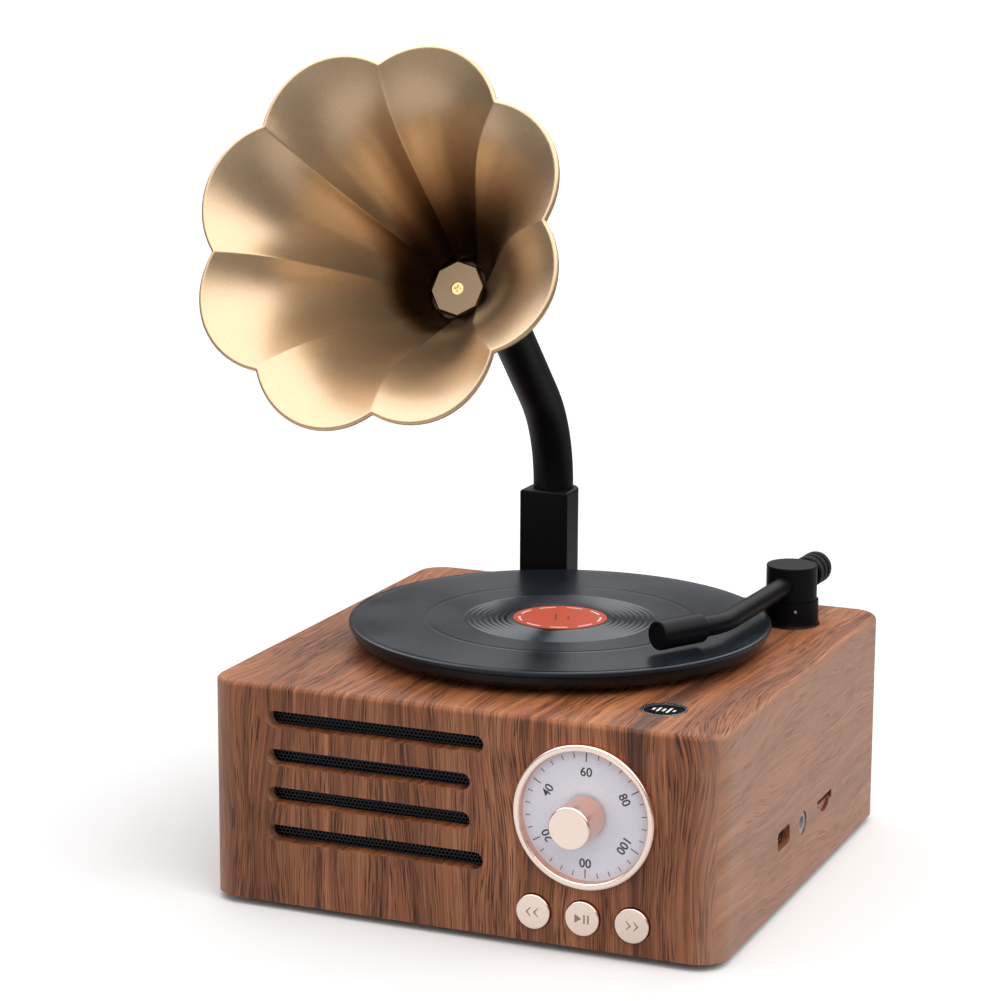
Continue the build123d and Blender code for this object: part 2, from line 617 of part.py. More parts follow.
def shaft_face(plane, radius, flat):
    """D-shaped face of the potentiometer shaft and of the knob's bore."""
    with BuildSketch(plane) as sketch:
        with Locations((DIAL_X, DIAL_Z)):
            Circle(radius)
        with Locations((DIAL_X, DIAL_Z - flat - radius)):
            Rectangle(2 * radius, 2 * radius, mode=Mode.SUBTRACT)
    return sketch.sketch


with BuildPart() as volume_pot:
    extrude(disc(front_plane(INSIDE_Y), POT_BODY_RADIUS, dial_centre), amount=-POT_DEPTH)
    bushing = disc(front_plane(BUSHING_FRONT_Y), BUSHING_RADIUS, dial_centre)
    extrude(bushing, amount=BUSHING_FRONT_Y - INSIDE_Y)
    well = disc(front_plane(BUSHING_FRONT_Y), POT_SHAFT_RADIUS + SLIP, dial_centre)
    extrude(well, amount=-(INSIDE_Y + 6.1 - BUSHING_FRONT_Y), mode=Mode.SUBTRACT)
write_part(volume_pot, "volume_pot")

with BuildPart() as pot_nut:
    with BuildSketch(front_plane(FRONT_Y + NUT_POCKET_DEPTH)):
        with Locations((DIAL_X, DIAL_Z)):
            RegularPolygon(radius=5.8, side_count=6)
            Circle(BUSHING_RADIUS + SNUG, mode=Mode.SUBTRACT)
    extrude(amount=1.2)
write_part(pot_nut, "pot_nut")

with BuildPart() as pot_shaft:
    shaft_back_y = INSIDE_Y + 6.0
    extrude(disc(front_plane(-69.0), POT_SHAFT_RADIUS, dial_centre), amount=-69.0 - shaft_back_y)
    extrude(shaft_face(front_plane(-69.0), POT_SHAFT_RADIUS, SHAFT_FLAT), amount=-69.0 - KNOB_FRONT_Y - 2.0)
write_part(pot_shaft, "pot_shaft")

with BuildPart() as volume_knob:
    extrude(disc(front_plane(KNOB_BACK_Y), KNOB_RADIUS, dial_centre), amount=KNOB_BACK_Y - KNOB_FRONT_Y)
    fillet(volume_knob.faces().sort_by(Axis.Y)[0].edges(), 0.5)
    bore = shaft_face(front_plane(KNOB_BACK_Y), POT_SHAFT_RADIUS + SNUG, SHAFT_FLAT + SNUG)
    extrude(bore, amount=KNOB_BACK_Y - KNOB_FRONT_Y - 1.9, mode=Mode.SUBTRACT)
write_part(volume_knob, "volume_knob")

with BuildPart() as dial_plate:
    with BuildSketch(front_plane(DIAL_FACE_Y)):
        with Locations((DIAL_X, DIAL_Z)):
            Circle(DIAL_RADIUS - SNUG)
            Circle(POT_SHAFT_RADIUS + 0.2, mode=Mode.SUBTRACT)
    extrude(amount=-(FRONT_Y + BEZEL_SEAT - DIAL_FACE_Y))
write_part(dial_plate, "dial_plate")

with BuildPart() as dial_bezel:
    with BuildSketch(front_plane(FRONT_Y + BEZEL_SEAT)):
        with Locations((DIAL_X, DIAL_Z)):
            Circle(BEZEL_RADIUS)
            Circle(DIAL_RADIUS, mode=Mode.SUBTRACT)
    extrude(amount=BEZEL_SEAT + BEZEL_PROUD)
    fillet(dial_bezel.faces().sort_by(Axis.Y)[0].edges(), 0.6)
write_part(dial_bezel, "dial_bezel")

# ---------------------------------------------------------------- round badge on the top
with BuildPart() as badge_ring:
    with BuildSketch(level(BOX_TOP - BADGE_SEAT)):
        with Locations((BADGE_X, BADGE_Y)):
            Circle(BADGE_RADIUS)
            Circle(BADGE_RADIUS - 0.8, mode=Mode.SUBTRACT)
    extrude(amount=BADGE_SEAT + 0.3)
write_part(badge_ring, "badge_ring")

with BuildPart() as badge_disc:
    badge_face = disc(level(BOX_TOP - BADGE_SEAT), BADGE_RADIUS - 0.8 - SNUG, [(BADGE_X, BADGE_Y)])
    extrude(badge_face, amount=BADGE_SEAT + 0.1)
write_part(badge_disc, "badge_disc")

# ---------------------------------------------------------------- turntable and its drive
SPINDLE_BOTTOM = CEILING - 7.6
CLIP_BOTTOM = SPINDLE_BOTTOM + 0.3
CLIP_THICKNESS = 0.7
CLIP_GROOVE_RADIUS = 1.5
GEAR_BOTTOM = CLIP_BOTTOM + CLIP_THICKNESS + 0.1
BEARING_BOTTOM = GEAR_BOTTOM + GEAR_WIDTH + 0.5
BEARING_TOP = BOX_TOP + 0.4
HUB_BOTTOM = BEARING_TOP + 0.1
HUB_RADIUS = 6.0
PLATTER_BOTTOM = HUB_BOTTOM + 1.6
BOSS_RADIUS = 3.0
GEAR_FLAT = 1.5  # distance of the spindle's flat from its axis
IDLER_REACH = GEAR_MODULE * (PLATTER_TEETH + PINION_TEETH) / 2
MOTOR_REACH = GEAR_MODULE * (IDLER_TEETH + PINION_TEETH) / 2
IDLER_Y = IDLER_REACH
MOTOR_Y = IDLER_REACH + MOTOR_REACH
BRACKET_BOTTOM = CEILING - 13.0
BRACKET_THICKNESS = 1.2
BRACKET_TOP = BRACKET_BOTTOM + BRACKET_THICKNESS
WHEEL_BOTTOM = BRACKET_TOP + 1.0
WHEEL_WIDTH = 2.6
IDLER_PIN_RADIUS = 1.0
MOTOR_RADIUS = 8.0
MOTOR_LENGTH = 14.0


def involute_half_angle(base_radius, pitch_radius, radius, half_angle_at_pitch):
    """Half the tooth's angular width at a radius."""
    def roll(r):
        cosine = min(1.0, base_radius / r)
        return math.tan(math.acos(cosine)) - math.acos(cosine)

    return half_angle_at_pitch + roll(pitch_radius) - roll(radius)


def gear_face(plane, centre, teeth, turn_degrees, bore_radius):
    """Involute spur gear face; one tooth points along turn_degrees."""
    pitch_radius = GEAR_MODULE * teeth / 2
    base_radius = pitch_radius * math.cos(PRESSURE_ANGLE)
    tip_radius = pitch_radius + 0.92 * GEAR_MODULE
    root_radius = pitch_radius - 1.15 * GEAR_MODULE
    half_at_pitch = math.pi / (2 * teeth) - TOOTH_THINNING / (2 * pitch_radius)
    start_radius = max(base_radius, root_radius)
    steps = 5
    radii = [start_radius + (tip_radius - start_radius) * i / (steps - 1) for i in range(steps)]
    points = []
    for tooth in range(teeth):
        middle = math.radians(turn_degrees) + 2 * math.pi * tooth / teeth
        halves = [involute_half_angle(base_radius, pitch_radius, r, half_at_pitch) for r in radii]
        rising = [(r, middle - half) for r, half in zip(radii, halves)]
        falling = [(r, middle + half) for r, half in reversed(list(zip(radii, halves)))]
        root = [(root_radius, middle - halves[0]), *rising, *falling, (root_radius, middle + halves[0])]
        if start_radius == root_radius:
            root = [*rising, *falling]
        points += [(centre[0] + r * math.cos(a), centre[1] + r * math.sin(a)) for r, a in root]
    with BuildSketch(plane) as sketch:
        with BuildLine():
            Polyline(*points, close=True)
        make_face()
        with Locations(centre):
            Circle(bore_radius, mode=Mode.SUBTRACT)
    return sketch.sketch


with BuildPart() as spindle:
    extrude(disc(level(SPINDLE_BOTTOM), SPINDLE_RADIUS), amount=HUB_BOTTOM - SPINDLE_BOTTOM)
    extrude(disc(level(HUB_BOTTOM), HUB_RADIUS), amount=PLATTER_BOTTOM - HUB_BOTTOM)
    extrude(disc(level(PLATTER_BOTTOM), BOSS_RADIUS), amount=RECORD_BOTTOM - PLATTER_BOTTOM - 0.4)
    # groove for the clip and flat that drives the gear
    groove = level(CLIP_BOTTOM - 0.02)
    with BuildSketch(groove):
        Circle(SPINDLE_RADIUS + 1)
        Circle(CLIP_GROOVE_RADIUS, mode=Mode.SUBTRACT)
    extrude(amount=CLIP_THICKNESS + 0.04, mode=Mode.SUBTRACT)
    flat = box_face(level(SPINDLE_BOTTOM), 2 * SPINDLE_RADIUS, 2.0, [(0, GEAR_FLAT + 1.0)])
    extrude(flat, amount=GEAR_BOTTOM + GEAR_WIDTH - SPINDLE_BOTTOM, mode=Mode.SUBTRACT)
write_part(spindle, "spindle")

with BuildPart() as spindle_clip:
    with BuildSketch(level(CLIP_BOTTOM)):
        Circle(3.8)
        Circle(CLIP_GROOVE_RADIUS + SNUG, mode=Mode.SUBTRACT)
        with Locations((0, -2.5)):
            Rectangle(2 * CLIP_GROOVE_RADIUS - 0.2, 5.0, mode=Mode.SUBTRACT)
    extrude(amount=CLIP_THICKNESS)
write_part(spindle_clip, "spindle_clip")

with BuildPart() as spindle_bearing:
    extrude(disc(level(BEARING_BOTTOM), BEARING_RADIUS), amount=BEARING_TOP - BEARING_BOTTOM)
    extrude(disc(level(BEARING_BOTTOM), BEARING_RADIUS + 2.5), amount=CEILING - BEARING_BOTTOM)
    bore = disc(level(BEARING_BOTTOM), SPINDLE_RADIUS + SLIP)
    extrude(bore, amount=BEARING_TOP - BEARING_BOTTOM, mode=Mode.SUBTRACT)
write_part(spindle_bearing, "spindle_bearing")

with BuildPart() as platter_gear:
    platter_teeth = gear_face(level(GEAR_BOTTOM), (0, 0), PLATTER_TEETH, 90, SPINDLE_RADIUS + SNUG)
    extrude(platter_teeth, amount=GEAR_WIDTH)
    key = box_face(level(GEAR_BOTTOM), 3.2, 1.0, [(0, GEAR_FLAT + SNUG + 0.5)])
    extrude(key, amount=GEAR_WIDTH)
write_part(platter_gear, "platter_gear")

with BuildPart() as platter:
    extrude(disc(level(PLATTER_BOTTOM), PLATTER_RADIUS), amount=RECORD_BOTTOM - PLATTER_BOTTOM)
    chamfer(platter.edges().group_by(Axis.Z)[0], 1.3)
    chamfer(platter.edges().group_by(Axis.Z)[-1], 0.3)
    boss_hole = disc(level(PLATTER_BOTTOM), BOSS_RADIUS + SNUG)
    extrude(boss_hole, amount=RECORD_BOTTOM - PLATTER_BOTTOM, mode=Mode.SUBTRACT)
write_part(platter, "platter")

with BuildPart() as record:
    extrude(disc(level(RECORD_BOTTOM), RECORD_RADIUS), amount=RECORD_THICKNESS)
    fillet(record.edges(), 0.55)
write_part(record, "record")

with BuildPart() as record_label:
    extrude(disc(level(RECORD_TOP), LABEL_RADIUS), amount=0.12)
write_part(record_label, "record_label")

with BuildPart() as idler_gear:
    wheel = gear_face(level(WHEEL_BOTTOM), (0, IDLER_Y), IDLER_TEETH, 90, IDLER_PIN_RADIUS + SLIP)
    extrude(wheel, amount=WHEEL_WIDTH)
    pinion_face = gear_face(
        level(WHEEL_BOTTOM + WHEEL_WIDTH),
        (0, IDLER_Y),
        PINION_TEETH,
        270 + 180 / PINION_TEETH,
        IDLER_PIN_RADIUS + SLIP,
    )
    extrude(pinion_face, amount=GEAR_BOTTOM + GEAR_WIDTH - WHEEL_BOTTOM - WHEEL_WIDTH)
write_part(idler_gear, "idler_gear")

with BuildPart() as idler_pin:
    pin_bottom = BRACKET_BOTTOM - 0.4
    extrude(disc(level(pin_bottom), IDLER_PIN_RADIUS, [(0, IDLER_Y)]), amount=CEILING - 2.0 - pin_bottom)
    head = disc(level(CEILING - 2.8), IDLER_PIN_RADIUS + 1.0, [(0, IDLER_Y)])
    extrude(head, amount=0.8)
    extrude(disc(level(BRACKET_TOP), IDLER_PIN_RADIUS + 1.0, [(0, IDLER_Y)]), amount=0.9)
write_part(idler_pin, "idler_pin")

with BuildPart() as motor_can:
    motor_face = disc(level(BRACKET_BOTTOM), MOTOR_RADIUS, [(0, MOTOR_Y)])
    extrude(motor_face, amount=-MOTOR_LENGTH)
    fillet(motor_can.edges().group_by(Axis.Z)[0], 1.0)
    extrude(disc(level(BRACKET_BOTTOM), 2.8, [(0, MOTOR_Y)]), amount=BRACKET_THICKNESS)
    shaft_well = disc(level(BRACKET_TOP), IDLER_PIN_RADIUS + SLIP, [(0, MOTOR_Y)])
    extrude(shaft_well, amount=-6.1, mode=Mode.SUBTRACT)
write_part(motor_can, "motor_can")

with BuildPart() as motor_pinion:
    teeth_face = gear_face(level(WHEEL_BOTTOM), (0, MOTOR_Y), PINION_TEETH, 270 + 180 / PINION_TEETH, 0.5)
    extrude(teeth_face, amount=WHEEL_WIDTH)
    shaft_bottom = BRACKET_TOP - 6.0
    extrude(disc(level(shaft_bottom), IDLER_PIN_RADIUS, [(0, MOTOR_Y)]), amount=WHEEL_BOTTOM - shaft_bottom)
    extrude(disc(level(WHEEL_BOTTOM), 0.5, [(0, MOTOR_Y)]), amount=WHEEL_WIDTH)
write_part(motor_pinion, "motor_pinion")

with BuildPart() as drive_bracket:
    bracket_length = BRACKET_BACK_Y - BRACKET_FRONT_Y
    bracket_middle = (BRACKET_BACK_Y + BRACKET_FRONT_Y) / 2
    extrude(
        box_face(level(BRACKET_BOTTOM), BRACKET_WIDTH, bracket_length, [(0, bracket_middle)]),
        amount=BRACKET_THICKNESS,
    )
    for end_y, outwards in ((BRACKET_FRONT_Y, -1), (BRACKET_BACK_Y, 1)):
        leg_y = end_y - outwards * BRACKET_THICKNESS / 2
        leg = box_face(level(BRACKET_BOTTOM), BRACKET_WIDTH, BRACKET_THICKNESS, [(0, leg_y)])
        extrude(leg, amount=CEILING - BRACKET_BOTTOM)
        tab_y = end_y + outwards * BRACKET_TAB / 2
        tab = box_face(level(CEILING), BRACKET_WIDTH, BRACKET_TAB, [(0, tab_y)])
        extrude(tab, amount=-BRACKET_THICKNESS)
    holes = disc(level(CEILING), BRACKET_SCREW_SHANK + SLIP, BRACKET_SCREWS)
    extrude(holes, amount=-BRACKET_THICKNESS, mode=Mode.SUBTRACT)
    motor_hole = disc(level(BRACKET_BOTTOM), 2.8 + SNUG, [(0, MOTOR_Y)])
    extrude(motor_hole, amount=BRACKET_THICKNESS, mode=Mode.SUBTRACT)
    pin_hole = disc(level(BRACKET_BOTTOM), IDLER_PIN_RADIUS + SNUG, [(0, IDLER_Y)])
    extrude(pin_hole, amount=BRACKET_THICKNESS, mode=Mode.SUBTRACT)
write_part(drive_bracket, "drive_bracket")

with BuildPart() as bracket_screws:
    for x, y in BRACKET_SCREWS:
        seat = Plane(origin=(x, y, CEILING - BRACKET_THICKNESS), z_dir=(0, 0, 1))
        add_screw(seat, 2.2, 1.2, BRACKET_SCREW_SHANK, BRACKET_THICKNESS + BRACKET_SCREW_DEPTH - 0.2)
write_part(bracket_screws, "bracket_screws")

# ---------------------------------------------------------------- tonearm
heading = math.radians(TONEARM_HEADING)
head_heading = math.radians(TONEARM_HEADING + TONEARM_BEND)
forward = Vector(-math.sin(heading), -math.cos(heading), 0)
head_forward = Vector(-math.sin(head_heading), -math.cos(head_heading), 0)
tonearm_centre = [(TONEARM_X, TONEARM_Y)]
pivot = Vector(TONEARM_X, TONEARM_Y, TUBE_Z)
elbow = pivot + forward * TONEARM_REACH
tube_front = elbow + head_forward * HEAD_REACH
tube_back = pivot - forward * TONEARM_TAIL
COLLAR_HEIGHT = 7.0
COLLAR_FOOT_RADIUS = 8.1
CAP_BOTTOM = BOX_TOP + COLLAR_HEIGHT + 0.1
CAP_HEIGHT = 9.6
PIVOT_SHAFT_RADIUS = 3.0
STUB_BOTTOM = CEILING - 4.0
NUT_HEIGHT = 3.0
HEAD_LENGTH = 13.0
HEAD_CAP = 1.2
WEIGHT_RADIUS = 4.5
WEIGHT_LENGTH = 9.0

with BuildPart() as tonearm_collar:
    collar_plane = Plane(origin=(TONEARM_X, TONEARM_Y, BOX_TOP), x_dir=(1, 0, 0), z_dir=(0, -1, 0))
    collar_axis = Axis((TONEARM_X, TONEARM_Y, BOX_TOP), (0, 0, 1))
    inner_radius = PIVOT_SHAFT_RADIUS + SLIP
    with BuildSketch(collar_plane):
        with BuildLine():
            stub_drop = STUB_BOTTOM - BOX_TOP
            Polyline((inner_radius, stub_drop), (STUB_RADIUS, stub_drop), (STUB_RADIUS, 0))
            Line((STUB_RADIUS, 0), (COLLAR_FOOT_RADIUS, 0))
            ThreePointArc((COLLAR_FOOT_RADIUS, 0), (7.75, 0.5), (7.6, 1.2))
            Polyline((7.6, 1.2), (7.5, COLLAR_HEIGHT), (inner_radius, COLLAR_HEIGHT))
            Line((inner_radius, COLLAR_HEIGHT), (inner_radius, stub_drop))
        make_face()
    revolve(axis=collar_axis)
write_part(tonearm_collar, "tonearm_collar")

with BuildPart() as tonearm_nut:
    with BuildSketch(level(CEILING - NUT_HEIGHT)):
        with Locations(*tonearm_centre):
            RegularPolygon(radius=7.0, side_count=6)
            Circle(STUB_RADIUS + SNUG, mode=Mode.SUBTRACT)
    extrude(amount=NUT_HEIGHT)
write_part(tonearm_nut, "tonearm_nut")

with BuildPart() as tonearm_cap:
    extrude(disc(level(CAP_BOTTOM), CAP_RADIUS, tonearm_centre), amount=CAP_HEIGHT)
    fillet(tonearm_cap.edges().group_by(Axis.Z)[-1], 0.4)
    shaft_bottom = STUB_BOTTOM - 0.1
    shaft_face_round = disc(level(shaft_bottom), PIVOT_SHAFT_RADIUS, tonearm_centre)
    extrude(shaft_face_round, amount=CAP_BOTTOM - shaft_bottom)
    tapped_hole = disc(level(shaft_bottom), 1.0 + SNUG, tonearm_centre)
    extrude(tapped_hole, amount=7.0, mode=Mode.SUBTRACT)
    cross_bore = disc(Plane(origin=pivot - forward * 10, z_dir=forward), TUBE_RADIUS + SNUG)
    extrude(cross_bore, amount=20, mode=Mode.SUBTRACT)
write_part(tonearm_cap, "tonearm_cap")

with BuildPart() as tonearm_screw:
    add_screw(Plane(origin=(TONEARM_X, TONEARM_Y, shaft_bottom), z_dir=(0, 0, 1)), 4.6, 1.2, 1.0, 6.5)
write_part(tonearm_screw, "tonearm_screw")

with BuildPart() as tonearm_tube:
    with BuildLine() as tube_line:
        FilletPolyline(tube_back, elbow, tube_front, radius=22)
    with BuildSketch(Plane(origin=tube_back, z_dir=forward)):
        Circle(TUBE_RADIUS)
    sweep(path=tube_line.line)
write_part(tonearm_tube, "tonearm_tube")

with BuildPart() as headshell:
    head_plane = Plane(origin=tube_front + head_forward * HEAD_CAP, x_dir=(0, 0, 1), z_dir=head_forward)
    extrude(disc(head_plane, HEAD_RADIUS), amount=-HEAD_LENGTH - HEAD_CAP)
    fillet(headshell.edges().sort_by(Axis.Y)[0], 0.5)
    sleeve_bore = disc(Plane(origin=tube_front, z_dir=-head_forward), TUBE_RADIUS + SNUG)
    extrude(sleeve_bore, amount=HEAD_LENGTH, mode=Mode.SUBTRACT)
write_part(headshell, "headshell")

with BuildPart() as counterweight:
    weight_back = Plane(origin=tube_back, z_dir=forward)
    with BuildSketch(weight_back):
        Circle(WEIGHT_RADIUS)
        Circle(TUBE_RADIUS + SNUG, mode=Mode.SUBTRACT)
    extrude(amount=WEIGHT_LENGTH)
    for offset_along in (2.4, 5.4):
        with BuildSketch(weight_back.offset(offset_along)):
            Circle(WEIGHT_RADIUS + 1)
            Circle(WEIGHT_RADIUS - 0.5, mode=Mode.SUBTRACT)
        extrude(amount=0.9, mode=Mode.SUBTRACT)
write_part(counterweight, "counterweight")

# ---------------------------------------------------------------- horn, its arm and its post
elevation = math.radians(HORN_ELEVATION)
mouth_normal = Vector(0, -math.cos(elevation), math.sin(elevation))
mouth_centre = Vector(HORN_X, HORN_RIM_Y, BOX_BOTTOM + HORN_RIM_RISE)
PLATE_THICKNESS = 2.0
NECK_LENGTH = 9.0
SHELL_RADIAL = 1.0
SHELL_AXIAL = 0.9
LIP = 0.7
NECK_RADIUS = THROAT_RADIUS + SHELL_RADIAL
STATION_COUNT = 14
# 1 at the rim, 0 at the throat, closer together where the bell flares most
STATIONS = [1 - (i / STATION_COUNT) ** 1.8 for i in range(STATION_COUNT + 1)]


def horn_plane(depth):
    """Plane across the horn's axis at a depth behind the rim; its y points up the mouth."""
    return Plane(origin=mouth_centre - mouth_normal * depth, x_dir=(1, 0, 0), z_dir=mouth_normal)


def crease_radius(station):
    """Bell profile along a crease between two petals."""
    return THROAT_RADIUS + 28.3 * station + 8.1 * station**8


def petal_face(plane, station, extra):
    """Eight arcs from crease to crease, each standing out at the petal's crest."""
    at_crease = crease_radius(station) + extra
    at_crest = crease_radius(station) * (1 + PETAL_BULGE * station) + extra
    sixteenth = math.pi / PETALS

    def rim_point(radius, index):
        angle = math.radians(CREASE_PHASE) + index * sixteenth
        return (radius * math.cos(angle), radius * math.sin(angle))

    with BuildSketch(plane) as sketch:
        with BuildLine():
            for petal in range(PETALS):
                start = rim_point(at_crease, 2 * petal)
                crest = rim_point(at_crest, 2 * petal + 1)
                end = rim_point(at_crease, 2 * petal + 2)
                ThreePointArc(start, crest, end)
        make_face()
    return sketch.sketch


with BuildPart() as horn_bell:
    outer = [petal_face(horn_plane(0), 1.0, LIP)]
    outer += [
        petal_face(horn_plane((1 - s) * HORN_DEPTH + SHELL_AXIAL), s, SHELL_RADIAL) for s in STATIONS
    ]
    loft(outer, ruled=True)
    neck = disc(horn_plane(HORN_DEPTH + SHELL_AXIAL), NECK_RADIUS)
    extrude(neck, amount=-NECK_LENGTH)
    chamfer(horn_bell.faces().sort_by(Axis.Y)[-1].edges(), 1.2)
    inner = [petal_face(horn_plane((1 - s) * HORN_DEPTH), s, 0) for s in STATIONS]
    loft(inner, ruled=True, mode=Mode.SUBTRACT)
    extrude(disc(horn_plane(HORN_DEPTH), THROAT_RADIUS), amount=-PLATE_THICKNESS, mode=Mode.SUBTRACT)
    extrude(disc(horn_plane(HORN_DEPTH), ARM_RADIUS + SNUG), amount=-20, mode=Mode.SUBTRACT)
write_part(horn_bell, "horn_bell")

with BuildPart() as throat_plate:
    with BuildSketch(horn_plane(HORN_DEPTH)):
        RegularPolygon(radius=7.65, side_count=PETALS, rotation=CREASE_PHASE)
    extrude(amount=-PLATE_THICKNESS)
    chamfer(throat_plate.faces().sort_by(Axis((0, 0, 0), mouth_normal))[-1].edges(), 0.4)
    extrude(disc(horn_plane(HORN_DEPTH), 1.75), amount=-1.0, mode=Mode.SUBTRACT)
    extrude(disc(horn_plane(HORN_DEPTH), 1.0 + SLIP), amount=-PLATE_THICKNESS, mode=Mode.SUBTRACT)
write_part(throat_plate, "throat_plate")

with BuildPart() as horn_screw:
    screw_seat = horn_plane(HORN_DEPTH + 1.0)
    add_screw(Plane(origin=screw_seat.origin, x_dir=(1, 0, 0), z_dir=-mouth_normal), 1.65, 0.8, 1.0, 7.0)
write_part(horn_screw, "horn_screw")

with BuildPart() as horn_arm:
    arm_end = mouth_centre - mouth_normal * (HORN_DEPTH + PLATE_THICKNESS)
    arm_start = Vector(HORN_X, POST_Y, BOX_TOP + 8.0)
    lower_elbow = Vector(HORN_X, POST_Y, BOX_BOTTOM + ARM_LOWER_ELBOW)
    # the slope rises at 45 degrees until it meets the horn's axis
    run = (arm_end.Z - lower_elbow.Z) * math.cos(elevation) - (POST_Y - arm_end.Y) * math.sin(elevation)
    slope = run / (math.cos(elevation) - math.sin(elevation))
    upper_elbow = lower_elbow + Vector(0, -slope, slope)
    with BuildLine() as arm_line:
        FilletPolyline(arm_start, lower_elbow, upper_elbow, arm_end, radius=ARM_BEND_RADIUS)
    with BuildSketch(Plane(origin=arm_start, z_dir=(0, 0, 1))):
        Circle(ARM_RADIUS)
        Circle(ARM_BORE, mode=Mode.SUBTRACT)
    sweep(path=arm_line.line)
    # plug at the horn end takes the throat screw
    plug_plane = horn_plane(HORN_DEPTH + PLATE_THICKNESS)
    extrude(disc(plug_plane, ARM_BORE), amount=-8.0)
    extrude(disc(plug_plane, 1.0 + SNUG), amount=-8.0, mode=Mode.SUBTRACT)
write_part(horn_arm, "horn_arm")

with BuildPart() as horn_post:
    straight = POST_Y - POST_FRONT_Y
    with BuildSketch(level(BOX_TOP)):
        with Locations((HORN_X, POST_Y)):
            Circle(POST_HALF_WIDTH)
        with Locations((HORN_X, POST_Y - straight / 2)):
            Rectangle(2 * POST_HALF_WIDTH, straight)
    extrude(amount=POST_HEIGHT)
    fillet(horn_post.faces().sort_by(Axis.Z)[-1].edges(), 0.7)
    socket_bore = disc(level(BOX_TOP + 8.0), ARM_RADIUS + SNUG, [(HORN_X, POST_Y)])
    extrude(socket_bore, amount=POST_HEIGHT, mode=Mode.SUBTRACT)
    pilot_holes = disc(level(BOX_TOP), POST_SCREW_SHANK + SNUG, POST_SCREWS)
    extrude(pilot_holes, amount=7.0, mode=Mode.SUBTRACT)
write_part(horn_post, "horn_post")

with BuildPart() as post_screws:
    for x, y in POST_SCREWS:
        add_screw(Plane(origin=(x, y, CEILING), z_dir=(0, 0, 1)), 2.6, 1.4, POST_SCREW_SHANK, WALL + 6.6)
write_part(post_screws, "post_screws")
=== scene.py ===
import json
import math

import bmesh
import bpy
from mathutils import Matrix, Vector


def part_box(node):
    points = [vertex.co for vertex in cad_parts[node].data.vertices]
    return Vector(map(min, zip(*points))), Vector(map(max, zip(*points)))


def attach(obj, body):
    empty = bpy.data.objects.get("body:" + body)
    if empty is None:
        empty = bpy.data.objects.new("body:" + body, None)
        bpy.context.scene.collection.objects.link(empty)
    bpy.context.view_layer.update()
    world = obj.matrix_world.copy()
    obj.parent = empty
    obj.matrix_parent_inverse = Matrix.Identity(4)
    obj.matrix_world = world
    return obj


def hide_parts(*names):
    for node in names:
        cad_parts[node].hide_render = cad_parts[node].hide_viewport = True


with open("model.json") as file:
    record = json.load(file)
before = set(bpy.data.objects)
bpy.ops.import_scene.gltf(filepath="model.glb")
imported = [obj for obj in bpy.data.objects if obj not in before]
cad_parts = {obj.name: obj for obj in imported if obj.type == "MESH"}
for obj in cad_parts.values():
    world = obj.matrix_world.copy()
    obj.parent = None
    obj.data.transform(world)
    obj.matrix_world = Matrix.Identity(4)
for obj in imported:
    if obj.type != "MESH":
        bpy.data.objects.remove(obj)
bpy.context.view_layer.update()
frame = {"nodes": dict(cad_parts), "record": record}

# A gramophone-styled wireless speaker: printed-walnut box, dial, keys, record, tonearm and a
# petalled horn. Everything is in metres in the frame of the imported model: +Z up, front towards -Y.
MM = 0.001

# ---------------------------------------------------------------- driving sizes and places
# camera: where it looks, from which side, how far away
CAMERA_TARGET = Vector((-0.02253, 0.01198, 0.09476))
CAMERA_AZIMUTH = math.radians(22.686)
CAMERA_ELEVATION = math.radians(12.016)
CAMERA_ROLL = math.radians(0.317)
CAMERA_DISTANCE = 0.8323
CAMERA_LENS = 109.6

# horn: the mouth's tilt, the depth of the bell and its petals
MOUTH_ELEVATION = math.radians(20.9)
HORN_DEPTH = 55.25 * MM
THROAT_RADIUS = 8.2 * MM
PLATE_THICKNESS = 2 * MM
FLARE = 28.3 * MM
RIM_FLARE = 8.1 * MM
RIM_FLARE_POWER = 8
PETALS = 8
CREASE_PHASE = math.radians(8.1)
PETAL_BULGE = 0.126
BULGE_POWER = 0.6
THROAT_BULGE_SHARE = 0.5  # of the petal's bulge, kept down to the throat
THROAT_PINCH = 0.5 * MM  # how far the creases close in on the throat plate's corners
CREASE_SOFTNESS = math.radians(0.35)
PETAL_STEPS = 26
INSIDE_ROWS = 52
LAST_STATION = 0.992  # where the rolled bead starts
PINCH_FADE = 10
BEAD_RADIUS = 0.8 * MM
BEAD_TURN = math.radians(225)
BEAD_STEPS = 14
OUTSIDE_ROWS = 34
OUTSIDE_LAST_STATION = 0.972
WALL = 0.9 * MM
WALL_THINNING = 0.45
NECK_RADIUS = 9.2 * MM
NECK_LENGTH = 9.9 * MM
NECK_CHAMFER = 1.2 * MM
NECK_START = 3 * MM  # behind the throat plate's front
ARM_HOLE_RADIUS = 5.78 * MM
# its paint has painted shade: darker down the throat, only near it on the petals that face LIT_SIDE,
# where the light comes from, and further out on the others
LIT_SIDE = (0.6, 0.1, 0.77)
DARK_START, SHADE_START_LIT_SIDE = 10 * MM, 13.5 * MM
DARK_END, SHADE_END_LIT_SIDE = 56 * MM, 23 * MM

